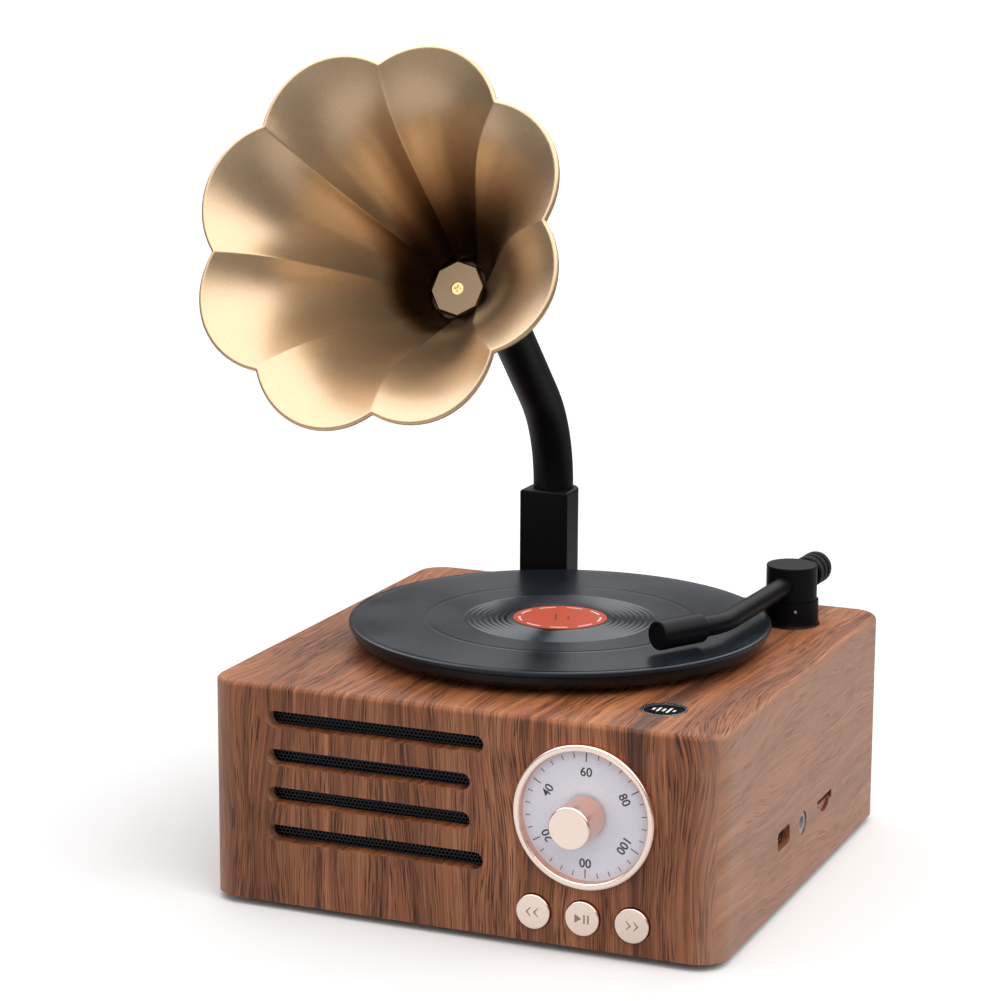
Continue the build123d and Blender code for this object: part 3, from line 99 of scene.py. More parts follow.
# record: groove bands as (inner radius, outer radius, pitch, depth)
GROOVE_BANDS = (
    (13.6 * MM, 26.0 * MM, 1.55 * MM, 0.20 * MM),
    (26.0 * MM, 35.2 * MM, 0.75 * MM, 0.04 * MM),
    (36.6 * MM, 54.6 * MM, 0.75 * MM, 0.04 * MM),
)
GROOVE_SHAPE = ((1, 0.5), (2, 1.0), (3, 0.5), (4, 0.0))  # quarter of the pitch, share of the depth
STEP_RADIUS = 35.9 * MM
STEP_HALF_WIDTH = 0.3 * MM
STEP_RISE = 0.06 * MM
EDGE_BEAD_RADIUS = 55.6 * MM
EDGE_BEAD_RISE = 0.05 * MM
EDGE_BEAD_FOOT = 0.6 * MM
EDGE_BEAD_HALF_TOP = 0.2 * MM
EDGE_ROUND = 0.5 * MM
EDGE_STEPS = 6
RECORD_STEPS = 240
LABEL_RING_RADIUS = 10.9 * MM
# strokes on the label: where each starts and stops towards the back, and its place across
LABEL_STROKES = ((-3.4 * MM, 3.0 * MM, -1.2 * MM), (-1.6 * MM, 2.0 * MM, 2.4 * MM))

# grille: staggered round holes
HOLE_PITCH = 1.1 * MM
HOLE_RADIUS = 0.36 * MM
SHEET_THICKNESS = 0.3 * MM
SLOT_MARGIN = 0.8 * MM
SLOT_ROWS = 4
SLOT_TOP_ROW = 51.2 * MM
SLOT_PITCH = 10.1 * MM
SLOT_HALF_HEIGHT = 2.2 * MM

# light: how bright the room, the ceiling and the card at the front left look to shiny surfaces,
# and the even light on matt surfaces
ROOM_LIGHT = 0.1
CEILING_LIGHT = 3.0
CARD_LIGHT = 1.0
EVEN_LIGHT = 0.78
BACKDROP_LIGHT = 1.1
# where the ceiling begins and is full, and the card ends, as sines of the height above the level
CEILING_EDGE = (0.24, 0.6)
CARD_TOP = (0.05, 0.25)
CARD_DIRECTION = (-0.386, -0.922, 0.0)
CARD_SECTOR = (0.6, 0.94)  # cosines of the angle from its direction: where it ends, where it is full
SKY_DIRECTION = (0.5, -0.3, 0.81)
SKY_STRENGTH = 1.6
SKY_SPREAD = math.radians(60)
# floor: its reach, and how bright it looks to shiny surfaces near the object and further off
FLOOR_REACH = 6.0
FLOOR_FADE = (0.25, 0.55)
FLOOR_NEAR_LIGHT, FLOOR_FAR_LIGHT, FLOOR_CARD_LIGHT = 0.62, 0.1, 0.22

# printing: how far ink and inlays stand proud of the surface they are on
INK = 0.03 * MM
TICKS = 30
LONG_TICK_EVERY = 5
NUMERALS = ("60", "80", "100", "00", "20", "40")  # clockwise from the top
NUMERAL_RADIUS = 11.6 * MM
NUMERAL_DROP = 0.5 * MM
NUMERAL_HEIGHT = 3.2 * MM
NUMERAL_WEIGHT = 0.05 * MM  # how much the strokes are thickened
TICK_OUTER = 16.1 * MM
LONG_TICK, LONG_TICK_HALF_WIDTH = 2.3 * MM, 0.13 * MM
SHORT_TICK, SHORT_TICK_HALF_WIDTH = 1.3 * MM, 0.1 * MM
KEY_MARK_SIZE = 1.15 * MM
KEY_MARK_REACH, KEY_MARK_INSET = 1.9 * MM, 0.1 * MM  # of the outer and inner points, across
KEY_BAR_PLACES = (0.65 * MM, 1.7 * MM)
KEY_BAR_WIDTH = 0.42 * MM
CHEVRON_WIDTH = 0.32 * MM
CHEVRON_TIP_WIDTH = 1.6 * CHEVRON_WIDTH
BADGE_BARS = (1.8 * MM, 3.4 * MM, 2.4 * MM, 4.2 * MM, 1.4 * MM)
BADGE_BAR_SPACING = 1.35 * MM
BADGE_BAR_WIDTH = 0.62 * MM

# walnut print: how far its lines sway, and the dark figure at the right of the front
WOOD_SWAY = 24 * MM
HEART_PLACE = 49.5 * MM
HEART_HALF_WIDTH = 11 * MM

# tonearm: the tube's heading from the front towards the left, its weight, the collar's set screw
TONEARM_HEADING = math.radians(2.6)
WEIGHT_RADIUS = 4.5 * MM
WEIGHT_LENGTH = 9 * MM
WEIGHT_GROOVES = ((2.4 * MM, 3.3 * MM), (5.4 * MM, 6.3 * MM))  # from the back end
GROOVE_DEPTH = 0.6 * MM
WEIGHT_CHAMFER = 0.4 * MM
DIMPLE_RADIUS = 2.2 * MM  # the hollow in its back face
DIMPLE_DEPTH = 0.3 * MM
PINHOLE = 0.02 * MM  # a skin closes on a loop this small
KNURLS = 48
KNURL_DEPTH = 0.12 * MM
SET_SCREW_HEIGHT = 64.8 * MM
SET_SCREW_RADIUS = 0.42 * MM
SET_SCREW_DEPTH = 0.08 * MM
SET_SCREW_STEPS = 18
COLLAR_RADIUS = 7.5 * MM

UP = Vector((0, 0, 1))
LEFT_TO_RIGHT = Vector((1, 0, 0))
TOWARDS_FRONT = Vector((0, -1, 0))


def middle(node):
    """Centre of a CAD node's box."""
    low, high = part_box(node)
    return (low + high) / 2


def srgb(red, green, blue):
    """Screen colour 0..255 as the linear colour that nodes take."""

    def linear(value):
        share = value / 255
        return share / 12.92 if share <= 0.04045 else ((share + 0.055) / 1.055) ** 2.4

    return (linear(red), linear(green), linear(blue), 1.0)


def scaled(colour, share):
    """A colour made darker or lighter by a share."""
    return tuple(min(channel * share, 1) for channel in colour[:3]) + (1.0,)


def new_object(name, data):
    """An object around a mesh, curve, lamp or camera, put in the scene."""
    item = bpy.data.objects.new(name, data)
    bpy.context.scene.collection.objects.link(item)
    return item


# ---------------------------------------------------------------- node graphs
class Graph:
    """Short calls for the nodes that the materials and the world share."""

    def __init__(self, tree):
        self.tree = tree

    def feed(self, socket, value):
        """Links a socket to a node's output, or gives it a plain value."""
        if isinstance(value, bpy.types.NodeSocket):
            self.tree.links.new(value, socket)
        else:
            socket.default_value = value

    def put(self, kind, inputs, output=0, **settings):
        """Adds a node, sets it up, feeds its inputs and returns one of its outputs."""
        node = self.tree.nodes.new("ShaderNode" + kind)
        for setting, value in settings.items():
            setattr(node, setting, value)
        for place, value in inputs.items():
            self.feed(node.inputs[place], value)
        return node.outputs[output]

    def math(self, operation, a, b=0.0, c=0.0):
        return self.put("Math", {0: a, 1: b, 2: c}, operation=operation)

    def point(self, kind="Object"):
        """The point being shaded, in the piece's own metres, or another kind of coordinate."""
        return self.put("TexCoord", {}, output=kind)

    def place(self, kind="Object"):
        """The same as x, y and z."""
        split = self.tree.nodes.new("ShaderNodeSeparateXYZ")
        self.feed(split.inputs[0], self.point(kind))
        return split.outputs

    def dot(self, a, b):
        return self.put("VectorMath", {0: a, 1: b}, output="Value", operation="DOT_PRODUCT")

    def length(self, vector):
        return self.put("VectorMath", {0: vector}, output="Value", operation="LENGTH")

    def vector(self, x, y, z=0.0):
        return self.put("CombineXYZ", {0: x, 1: y, 2: z})

    def noise(self, vector, scale=1.0, detail=2.0, roughness=0.5):
        inputs = {"Vector": vector, "Scale": scale, "Detail": detail, "Roughness": roughness}
        return self.put("TexNoise", inputs, output="Fac")

    def ramp(self, value, *stops):
        """Colour ramp; each stop is (position, colour)."""
        node = self.tree.nodes.new("ShaderNodeValToRGB")
        elements = node.color_ramp.elements
        while len(elements) < len(stops):
            elements.new(0.5)
        for element, (position, colour) in zip(elements, stops):
            element.position = position
            element.color = colour
        self.feed(node.inputs[0], value)
        return node.outputs[0]

    def between(self, value, low, high, to_low=0.0, to_high=1.0):
        """Smooth step of a value from low..high to to_low..to_high."""
        inputs = {"Value": value, "From Min": low, "From Max": high, "To Min": to_low, "To Max": to_high}
        return self.put("MapRange", inputs, interpolation_type="SMOOTHSTEP")

    def mix(self, share, a, b, blend="MIX"):
        """Colour b laid over colour a by a share."""
        settings = {"data_type": "RGBA", "blend_type": blend}
        return self.put("Mix", {0: share, 6: a, 7: b}, output=2, **settings)


class Finish(Graph):
    """One procedural material."""

    def __init__(self, name):
        self.material = bpy.data.materials.new(name)
        self.material.use_nodes = True
        super().__init__(self.material.node_tree)
        self.shader = self.tree.nodes["Principled BSDF"]

    def set(self, **inputs):
        """Feeds the surface shader; names use _ for a space."""
        for name, value in inputs.items():
            self.feed(self.shader.inputs[name.replace("_", " ")], value)

    def bump(self, height, depth, strength=1.0):
        inputs = {"Height": height, "Distance": depth, "Strength": strength}
        self.set(Normal=self.put("Bump", inputs))


def fine_grain(finish, colour, size, spread, roughness, roughness_spread, depth):
    """Colour, roughness and relief that vary together at one grain size, over slow broad clouds."""
    point = finish.point()
    grain = finish.noise(point, 1 / size, 3)
    clouds = finish.noise(point, 1 / (size * 60), 2)
    amount = finish.math("MULTIPLY_ADD", grain, 0.6, finish.math("MULTIPLY", clouds, 0.4))
    dark_and_light = (0.3, scaled(colour, 1 - spread)), (0.7, scaled(colour, 1 + spread))
    finish.set(Base_Color=finish.ramp(amount, *dark_and_light))
    low, high = roughness - roughness_spread, roughness + roughness_spread
    finish.set(Roughness=finish.between(amount, 0.3, 0.7, low, high))
    finish.bump(grain, depth)


def plastic(name, colour, roughness=0.4, size=0.25 * MM, spread=0.12, depth=0.004 * MM, gloss=0.5):
    """Moulded plastic with a faint spark-eroded texture."""
    finish = Finish(name)
    fine_grain(finish, colour, size, spread, roughness, 0.06, depth)
    finish.set(Specular_IOR_Level=gloss)
    return finish.material


def cast_metal(name, colour, roughness=0.35, size=0.2 * MM, spread=0.08, depth=0.003 * MM):
    """Metal or metal paint with an even fine grain."""
    finish = Finish(name)
    fine_grain(finish, colour, size, spread, roughness, 0.05, depth)
    finish.set(Metallic=1.0)
    return finish.material


def spun_metal(name, colour, roughness, centre, axis, side=None):
    """Metal with turning marks around an axis through a centre. Its sides may take another colour, a
    painted reflection of the dimmer room they face.
    """
    finish = Finish(name)
    x, y, z = finish.place()
    across = {"X": (y, z), "Y": (x, z), "Z": (x, y)}[axis]
    origin = {"X": (centre.y, centre.z), "Y": (centre.x, centre.z), "Z": (centre.x, centre.y)}[axis]
    offsets = [finish.math("SUBTRACT", here, there) for here, there in zip(across, origin)]
    radius = finish.length(finish.vector(*offsets))
    marks = finish.noise(finish.vector(finish.math("MULTIPLY", radius, 9000.0), 0.0), 1.0, 3)
    tint = finish.ramp(marks, (0.35, scaled(colour, 0.9)), (0.65, colour))
    # painted reflection: faces turned away from the axis get the side colour
    if side:
        facing = finish.math("ABSOLUTE", finish.place("Normal")[axis])
        tint = finish.mix(finish.between(facing, 0.3, 0.8, 1.0, 0.0), tint, side)
    finish.set(Metallic=1.0, Base_Color=tint)
    finish.set(Roughness=finish.between(marks, 0.3, 0.7, roughness - 0.06, roughness + 0.06))
    finish.bump(marks, 0.004 * MM)
    return finish.material


# ---------------------------------------------------------------- printed walnut
def wood_streaks(finish, across, along, across_scale, along_scale, detail=2.0):
    """Noise drawn out along the grain; scales are cycles per metre."""
    vector = finish.vector(
        finish.math("MULTIPLY", across, across_scale),
        finish.math("MULTIPLY", along, along_scale),
    )
    return finish.noise(vector, 1.0, detail, 0.55)


def wood_sheet(finish, across, along):
    """Colour and relief of the walnut print at a place on the unfolded sheet."""
    sway = wood_streaks(finish, across, along, 24.0, 8.0)
    swayed = finish.math("MULTIPLY_ADD", finish.math("SUBTRACT", sway, 0.5), WOOD_SWAY, across)
    band = wood_streaks(finish, swayed, along, 95.0, 4.0)
    streak = wood_streaks(finish, swayed, along, 560.0, 10.0, 3)
    fine = wood_streaks(finish, swayed, along, 1900.0, 26.0, 3)
    fibre = wood_streaks(finish, swayed, along, 4200.0, 70.0, 2)
    tone = finish.math("MULTIPLY_ADD", band, 0.36, finish.math("MULTIPLY", streak, 0.34))
    tone = finish.math("MULTIPLY_ADD", fine, 0.30, tone)
    colour = finish.ramp(
        tone,
        (0.38, srgb(92, 52, 35)),
        (0.46, srgb(128, 79, 54)),
        (0.54, srgb(154, 98, 69)),
        (0.64, srgb(182, 124, 90)),
    )
    lines = finish.between(fibre, 0.3, 0.7)
    shades = finish.ramp(lines, (0, (0.66, 0.62, 0.6, 1)), (1, (1.12, 1.12, 1.12, 1)))
    colour = finish.mix(0.6, colour, shades, "MULTIPLY")
    # smoky heart streaks, a broad one towards the right end and thin ones elsewhere
    heart = finish.math("SUBTRACT", swayed, HEART_PLACE)
    heart = finish.between(finish.math("ABSOLUTE", heart), 0.0, HEART_HALF_WIDTH, 1.0, 0.0)
    veins = finish.between(wood_streaks(finish, swayed, along, 420.0, 10.0, 3), 0.44, 0.62)
    smoke = finish.math("MULTIPLY", veins, finish.math("MULTIPLY_ADD", heart, 0.66, 0.16))
    colour = finish.mix(smoke, colour, srgb(62, 42, 36))
    # long thin dark lines
    threads = finish.between(wood_streaks(finish, swayed, along, 1500.0, 15.0, 2), 0.58, 0.68)
    colour = finish.mix(finish.math("MULTIPLY", threads, 0.55), colour, srgb(84, 46, 32))
    # short dark pores, in clusters
    pores = wood_streaks(finish, swayed, along, 4000.0, 90.0, 1)
    cluster = wood_streaks(finish, swayed, along, 190.0, 22.0, 2)
    limit = finish.between(cluster, 0.35, 0.65, 0.64, 0.50)
    pores = finish.math("MULTIPLY", finish.math("SUBTRACT", pores, limit), 14.0)
    pores = finish.put("Clamp", {"Value": pores})
    colour = finish.mix(finish.math("MULTIPLY", pores, 0.8), colour, srgb(48, 26, 20))
    height = finish.math("MULTIPLY_ADD", pores, -1.0, finish.math("MULTIPLY", lines, 0.35))
    return colour, height


def walnut():
    """The sheet is wrapped over the box: its grain runs front to back on the top and on the sides,
    and turns down over the front and back edges."""
    finish = Finish("walnut")
    x, y, z = finish.place()
    drop = finish.math("SUBTRACT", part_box("cabinet")[1].z, z)
    over_side = finish.math("MULTIPLY_ADD", finish.math("SIGN", x), drop, x)
    over_end = finish.math("MULTIPLY_ADD", finish.math("SIGN", y), drop, y)
    end_colour, end_height = wood_sheet(finish, x, over_end)
    side_colour, side_height = wood_sheet(finish, over_side, y)
    normal_x, normal_y, normal_z = finish.place("Normal")
    ahead = finish.math("ABSOLUTE", normal_y)
    painted_side_sheen = finish.math("ABSOLUTE", normal_x)
    painted_top_light = finish.math("MAXIMUM", normal_z, 0.0)
    endness = finish.between(ahead, 0.55, 0.75)
    colour = finish.mix(endness, side_colour, end_colour)
    height = finish.math(
        "ADD",
        finish.math("MULTIPLY", end_height, endness),
        finish.math("MULTIPLY", side_height, finish.math("SUBTRACT", 1.0, endness)),
    )
    # painted light: the top is made lighter, standing in for the light falling on it, and the sides
    # paler, a painted sheen
    colour = finish.mix(painted_top_light, colour, (1.36, 1.28, 1.06, 1), "MULTIPLY")
    colour = finish.mix(finish.math("MULTIPLY", painted_side_sheen, 0.5), colour, srgb(190, 150, 128))
    finish.set(Base_Color=colour, Specular_IOR_Level=0.25)
    finish.set(Roughness=finish.between(height, -1.0, 0.4, 0.6, 0.42))
    finish.bump(height, 0.03 * MM)
    return finish.material


# ---------------------------------------------------------------- the other finishes
def horn_paint(name, colour, darkest):
    """Champagne-gold metallic paint: fine flakes under a satin lacquer. Darker down the throat, partly a
    deeper paint tone and partly painted shade of the deep throat; the petals turned to the light keep
    their full colour closer to the throat, which is painted light.
    """
    finish = Finish(name)
    point = finish.point()
    flakes = finish.put("TexVoronoi", {"Vector": point, "Scale": 5200.0}, output="Color")
    sparkle = finish.put("SeparateColor", {0: flakes})
    clouds = finish.noise(point, 60.0, 3)
    tone = finish.math("MULTIPLY_ADD", sparkle, 0.5, finish.math("MULTIPLY", clouds, 0.5))
    paint = finish.ramp(tone, (0.25, scaled(colour, 0.9)), (0.75, scaled(colour, 1.1)))
    offset = finish.put("VectorMath", {0: point, 1: middle("throat_plate")}, operation="SUBTRACT")
    normal = finish.put("NewGeometry", {}, output="Normal")
    # painted light and shade: how close to the throat the colour darkens follows how the surface is
    # turned to the light at LIT_SIDE
    turned = finish.dot(normal, LIT_SIDE)
    start = finish.between(turned, -0.7, 0.7, DARK_START, SHADE_START_LIT_SIDE)
    end = finish.between(turned, -0.7, 0.7, DARK_END, SHADE_END_LIT_SIDE)
    shade = finish.between(finish.length(offset), start, end, darkest, 1.0)
    # painted shade: the colour goes through brown to black as the shade deepens
    painted_shade_tint = finish.ramp(
        shade,
        (0.0, (0.0, 0.0, 0.0, 1)),
        (0.35, (0.19, 0.12, 0.068, 1)),
        (0.7, (0.58, 0.49, 0.385, 1)),
        (1.0, (1, 1, 1, 1)),
    )
    finish.set(Metallic=finish.between(turned, -0.5, 0.7, 0.9, 0.7))
    finish.set(Base_Color=finish.mix(1.0, paint, painted_shade_tint, "MULTIPLY"))
    finish.set(Roughness=finish.between(tone, 0.2, 0.8, 0.28, 0.38), Specular_IOR_Level=0.3)
    finish.set(Coat_Weight=shade, Coat_IOR=1.65, Coat_Roughness=0.3)
    finish.bump(sparkle, 0.006 * MM, 0.6)
    return finish.material


def vinyl():
    """Black vinyl; a little dust catches the light."""
    finish = Finish("vinyl")
    point = finish.point()
    clouds = finish.noise(point, 45.0, 3)
    dust = finish.put("TexVoronoi", {"Vector": point, "Scale": 420.0}, output="Distance")
    specks = finish.between(dust, 0.03, 0.05, 1.0, 0.0)
    sparse = finish.between(finish.noise(point, 90.0, 1), 0.6, 0.7)
    specks = finish.math("MULTIPLY", finish.math("MULTIPLY", specks, sparse), 0.5)
    base = finish.ramp(clouds, (0.3, (0.006, 0.008, 0.012, 1)), (0.7, (0.011, 0.014, 0.020, 1)))
    finish.set(Base_Color=finish.mix(specks, base, (0.5, 0.5, 0.52, 1)))
    finish.set(Roughness=finish.between(clouds, 0.3, 0.7, 0.2, 0.27))
    finish.set(IOR=1.36, Specular_Tint=(0.8, 0.9, 1.0, 1))
    return finish.material


def label_print():
    """Orange-red paper with a thin white ring, broken by gaps, and two plain dark strokes."""
    finish = Finish("label_paper")
    x, y, _ = finish.place()
    spot = finish.vector(x, y)
    paper = finish.noise(spot, 2600.0, 4)
    colour = finish.ramp(paper, (0.3, srgb(170, 62, 32)), (0.7, srgb(194, 80, 46)))
    from_ring = finish.math("SUBTRACT", finish.length(spot), LABEL_RING_RADIUS)
    ring = finish.between(finish.math("ABSOLUTE", from_ring), 0.2 * MM, 0.34 * MM, 1, 0)
    angle = finish.math("ARCTAN2", y, x)
    beats = finish.math("SINE", finish.math("MULTIPLY", angle, 9.0))
    ring = finish.math("MULTIPLY", ring, finish.between(beats, -0.5, -0.2))
    colour = finish.mix(ring, colour, srgb(244, 226, 216))
    lean = finish.math("MULTIPLY_ADD", y, 0.35, x)
    for start, stop, side in LABEL_STROKES:
        off = finish.math("ABSOLUTE", finish.math("SUBTRACT", lean, side))
        stroke = finish.between(off, 0.22 * MM, 0.34 * MM, 1, 0)
        stroke = finish.math("MULTIPLY", stroke, finish.math("GREATER_THAN", y, start))
        stroke = finish.math("MULTIPLY", stroke, finish.math("LESS_THAN", y, stop))
        colour = finish.mix(stroke, colour, srgb(104, 40, 28))
    finish.set(Base_Color=colour, Roughness=0.5, Specular_IOR_Level=0.2)
    finish.bump(paper, 0.01 * MM)
    return finish.material


def dial_print():
    """Pale blue-grey satin dial, darker towards its rim, a painted shade where the bezel ring meets it.
    """
    finish = Finish("dial_face")
    x, _, z = finish.place()
    centre = middle("dial_plate")
    across = finish.math("SUBTRACT", x, centre.x)
    spot = finish.vector(across, finish.math("SUBTRACT", z, centre.z))
    mottle = finish.noise(spot, 1800.0, 3)
    colour = finish.ramp(mottle, (0.3, srgb(212, 214, 226)), (0.7, srgb(222, 223, 235)))
    # painted shade: darker over the last few millimetres inside the bezel ring
    edge = finish.between(finish.length(spot), 14.0 * MM, 16.8 * MM, 0.0, 0.35)
    finish.set(Base_Color=finish.mix(edge, colour, srgb(176, 180, 194)), Roughness=0.42)
    finish.bump(mottle, 0.004 * MM)
    return finish.material


def circuit_board():
    """Green solder mask with fine copper tracks showing through."""
    finish = Finish("circuit_board")
    x, y, _ = finish.place()
    spot = finish.vector(x, y)
    inputs = {"Vector": spot, "Scale": 180.0, "Mortar Size": 0.06}
    tracks = finish.put("TexBrick", inputs, output="Fac")
    mottle = finish.noise(spot, 900.0, 3)
    mask = finish.ramp(mottle, (0.3, srgb(16, 62, 38)), (0.7, srgb(24, 84, 50)))
    finish.set(Base_Color=finish.mix(tracks, mask, srgb(48, 122, 74)), Roughness=0.35)
    finish.bump(tracks, 0.02 * MM)
    return finish.material


def paper(name, dark, light, size=0.3 * MM):
    """Pressed fibre sheet or woven cloth."""
    finish = Finish(name)
    point = finish.point()
    fibre = finish.noise(point, 1 / size, 6, 0.7)
    finish.set(Base_Color=finish.ramp(fibre, (0.3, dark), (0.7, light)), Roughness=0.9)
    finish.bump(fibre, 0.05 * MM)
    return finish.material


def make_finishes():
    """One material for each of the record's slots."""
    black = (0.0025, 0.0025, 0.0035, 1)
    enamel = (0.006, 0.006, 0.007, 1)
    rose, rose_painted_side_reflection = srgb(247, 227, 214), srgb(246, 198, 178)
    dial_axis, coil_axis = middle("volume_knob"), middle("voice_coil")
    return {
        "walnut": walnut(),
        "black_plastic": plastic("black_plastic", (0.005, 0.005, 0.006, 1), 0.3, gloss=0.25),
        "black_satin": plastic("black_satin", black, 0.38, 0.3 * MM, 0.2, 0.006 * MM, 0.1),
        "rubber": plastic("rubber", (0.022, 0.022, 0.023, 1), 0.75, 0.4 * MM, 0.2, 0.02 * MM),
        "steel": cast_metal("steel", (0.62, 0.62, 0.63, 1), 0.3),
        "gilt_steel": cast_metal("gilt_steel", (0.62, 0.44, 0.20, 1), 0.24),
        "black_metal": cast_metal("black_metal", (0.035, 0.038, 0.048, 1), 0.38),
        "ferrite": plastic("ferrite", (0.045, 0.045, 0.05, 1), 0.6, 0.3 * MM, 0.25, 0.02 * MM),
        "spider_cloth": paper("spider_cloth", (0.32, 0.16, 0.04, 1), (0.55, 0.32, 0.1, 1)),
        "circuit_board": circuit_board(),
        "battery_sleeve": plastic("battery_sleeve", (0.03, 0.16, 0.42, 1), 0.25),
        "jack_plastic": plastic("jack_plastic", (0.30, 0.30, 0.31, 1), 0.4),
        # the rose-gold parts' sides get a deeper rose, a painted reflection of the dimmer room
        "rose_gold": spun_metal("rose_gold", rose, 0.24, dial_axis, "Y", side=rose_painted_side_reflection),
        "dial_face": dial_print(),
        "badge_metal": cast_metal("badge_metal", (0.80, 0.80, 0.80, 1), 0.18),
        "badge_enamel": plastic("badge_enamel", enamel, 0.12, 0.5 * MM, 0.3, 0.002 * MM),
        "bearing_bronze": cast_metal("bearing_bronze", (0.62, 0.38, 0.16, 1), 0.35),
        "horn_metal": horn_paint("horn_metal", srgb(188, 157, 120), 0.14),
        "nylon": plastic("nylon", (0.76, 0.75, 0.70, 1), 0.5),
        "vinyl": vinyl(),
        "label_paper": label_print(),
        "cone_paper": paper("cone_paper", (0.02, 0.02, 0.02, 1), (0.055, 0.055, 0.055, 1)),
        "copper_wire": spun_metal("copper_wire", (0.86, 0.42, 0.25, 1), 0.3, coil_axis, "Y"),
    }


finishes = make_finishes()
for subpart in frame["record"]["subparts"]:
    mesh = frame["nodes"][subpart["node"]].data
    mesh.materials.clear()
    mesh.materials.append(finishes[subpart["material_slot"]])
throat_paint = horn_paint("throat_paint", srgb(122, 94, 54), 0.9)
frame["nodes"]["throat_plate"].data.materials[0] = throat_paint


# ---------------------------------------------------------------- mesh tools
def add_piece(name, mesh, body, slot, material=None, stands_for=()):
    """Puts a mesh in the scene as a piece that rides on a CAD body."""
    piece = new_object(name, mesh)
    mesh.materials.append(material or finishes[slot])
    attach(piece, body)
    if stands_for:
        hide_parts(*stands_for)
    return piece


def smooth_mesh(name, points, faces, sharp_angle=35):
    """Mesh with smooth shading, broken where it turns by more than the sharp angle, in degrees."""
    mesh = bpy.data.meshes.new(name)
    mesh.from_pydata(points, [], faces)
    shape = bmesh.new()
    shape.from_mesh(mesh)
    bmesh.ops.recalc_face_normals(shape, faces=shape.faces)
    shape.to_mesh(mesh)
    shape.free()
    mesh.shade_smooth()
    mesh.set_sharp_from_angle(angle=math.radians(sharp_angle))
    return mesh


def closed_skin(name, loops, sharp_angle=35):
    """Surface through closed loops of equal length, the last one joined back to the first."""
    count = len(loops[0])
    points = [point for loop in loops for point in loop]
    faces = []
    for row in range(len(loops)):
        here, there = row * count, (row + 1) % len(loops) * count
        for step in range(count):
            after = (step + 1) % count
            faces.append((here + step, here + after, there + after, there + step))
    return smooth_mesh(name, points, faces, sharp_angle)


def circle(centre, right, up, radii):
    """Points all round a centre, the first towards the right, with a radius for each."""
    points = []
    for step, radius in enumerate(radii):
        turn = 2 * math.pi * step / len(radii)
        points.append(centre + (right * math.cos(turn) + up * math.sin(turn)) * radius)
    return points


def prisms(name, outlines, origin, right, up, thickness):
    """Flat outlines, drawn on the plane of right and up, raised into thin closed solids."""
    out = right.cross(up)
    points, faces = [], []
    for outline in outlines:
        first, count = len(points), len(outline)
        for lift in (0.0, thickness):
            points += [origin + right * a + up * b + out * lift for a, b in outline]
        faces.append(tuple(range(first, first + count)))
        faces.append(tuple(range(first + count, first + 2 * count)))
        for step in range(count):
            here, there = first + step, first + (step + 1) % count
            faces.append((here, there, there + count, here + count))
    return smooth_mesh(name, points, faces, 20)


# ---------------------------------------------------------------- horn bell
def crease_radius(station):
    """Bell profile along a crease, from the throat at 0 to the rim at 1."""
    return THROAT_RADIUS + FLARE * station + RIM_FLARE * station**RIM_FLARE_POWER


def bulge_share(station):
    """How far a petal's crest stands beyond its creases."""
    return PETAL_BULGE * (THROAT_BULGE_SHARE + (1 - THROAT_BULGE_SHARE) * station**BULGE_POWER)


def petal_rise(angle):
    """How far the petal has risen at an angle: 0 on a softened crease, 1 on the crest."""
    half = math.pi / PETALS
    from_crease = (angle - CREASE_PHASE) % (2 * half)
    from_crease = min(from_crease, 2 * half - from_crease)
    softened = math.hypot(from_crease, CREASE_SOFTNESS) - CREASE_SOFTNESS
    return 1 - (1 - softened / half) ** 2


def petal_angles():
    """Angles around the bell, crowded towards the creases."""
    half = math.pi / PETALS
    shares = [math.sin(math.pi / 2 * (2 * step / PETAL_STEPS - 1)) for step in range(PETAL_STEPS)]
    angles = []
    for petal in range(PETALS):
        crest = CREASE_PHASE + (2 * petal + 1) * half
        angles += [crest + half * share for share in shares]
    return angles


def bell_profile():
    """Closed section as (depth behind the mouth, radius on a crease, bulge share, offset outwards)."""
    section = []
    # inside, from the throat to the rim
    for row in range(INSIDE_ROWS + 1):
        station = LAST_STATION * (1 - (1 - row / INSIDE_ROWS) ** 1.6)
        depth = (1 - station) * HORN_DEPTH
        radius = crease_radius(station) - THROAT_PINCH * (1 - station) ** PINCH_FADE
        section.append((depth, radius, bulge_share(station), 0.0))
    # the rolled bead: an arc that starts along the surface and turns outwards and back
    depth, radius, bulge, _ = section[-1]
    steepness = FLARE + RIM_FLARE * RIM_FLARE_POWER
    heading = math.atan2(steepness, HORN_DEPTH)  # of the surface, from the horn's axis
    for step in range(1, BEAD_STEPS + 1):
        turned = BEAD_TURN * step / BEAD_STEPS
        forward = BEAD_RADIUS * (math.sin(heading + turned) - math.sin(heading))
        outward = BEAD_RADIUS * (math.cos(heading) - math.cos(heading + turned))
        section.append((depth - forward, radius, bulge, outward))
    # outside, back to the neck; the wall thickens towards the throat
    for row in range(OUTSIDE_ROWS + 1):
        station = (1 - row / OUTSIDE_ROWS) * OUTSIDE_LAST_STATION
        wall = WALL * (1 - WALL_THINNING * station)
        depth = (1 - station) * HORN_DEPTH + wall
        section.append((depth, crease_radius(station), bulge_share(station), wall))
    back = HORN_DEPTH + NECK_LENGTH
    well = HORN_DEPTH + PLATE_THICKNESS
    for depth, radius in (
        (HORN_DEPTH + NECK_START, NECK_RADIUS),
        (back - NECK_CHAMFER, NECK_RADIUS),
        (back, NECK_RADIUS - NECK_CHAMFER),
        (back, ARM_HOLE_RADIUS),
        (well, ARM_HOLE_RADIUS),
    ):
        section.append((depth, radius, 0.0, 0.0))
    section.append((well, THROAT_RADIUS - THROAT_PINCH, bulge_share(0), 0.0))
    return section


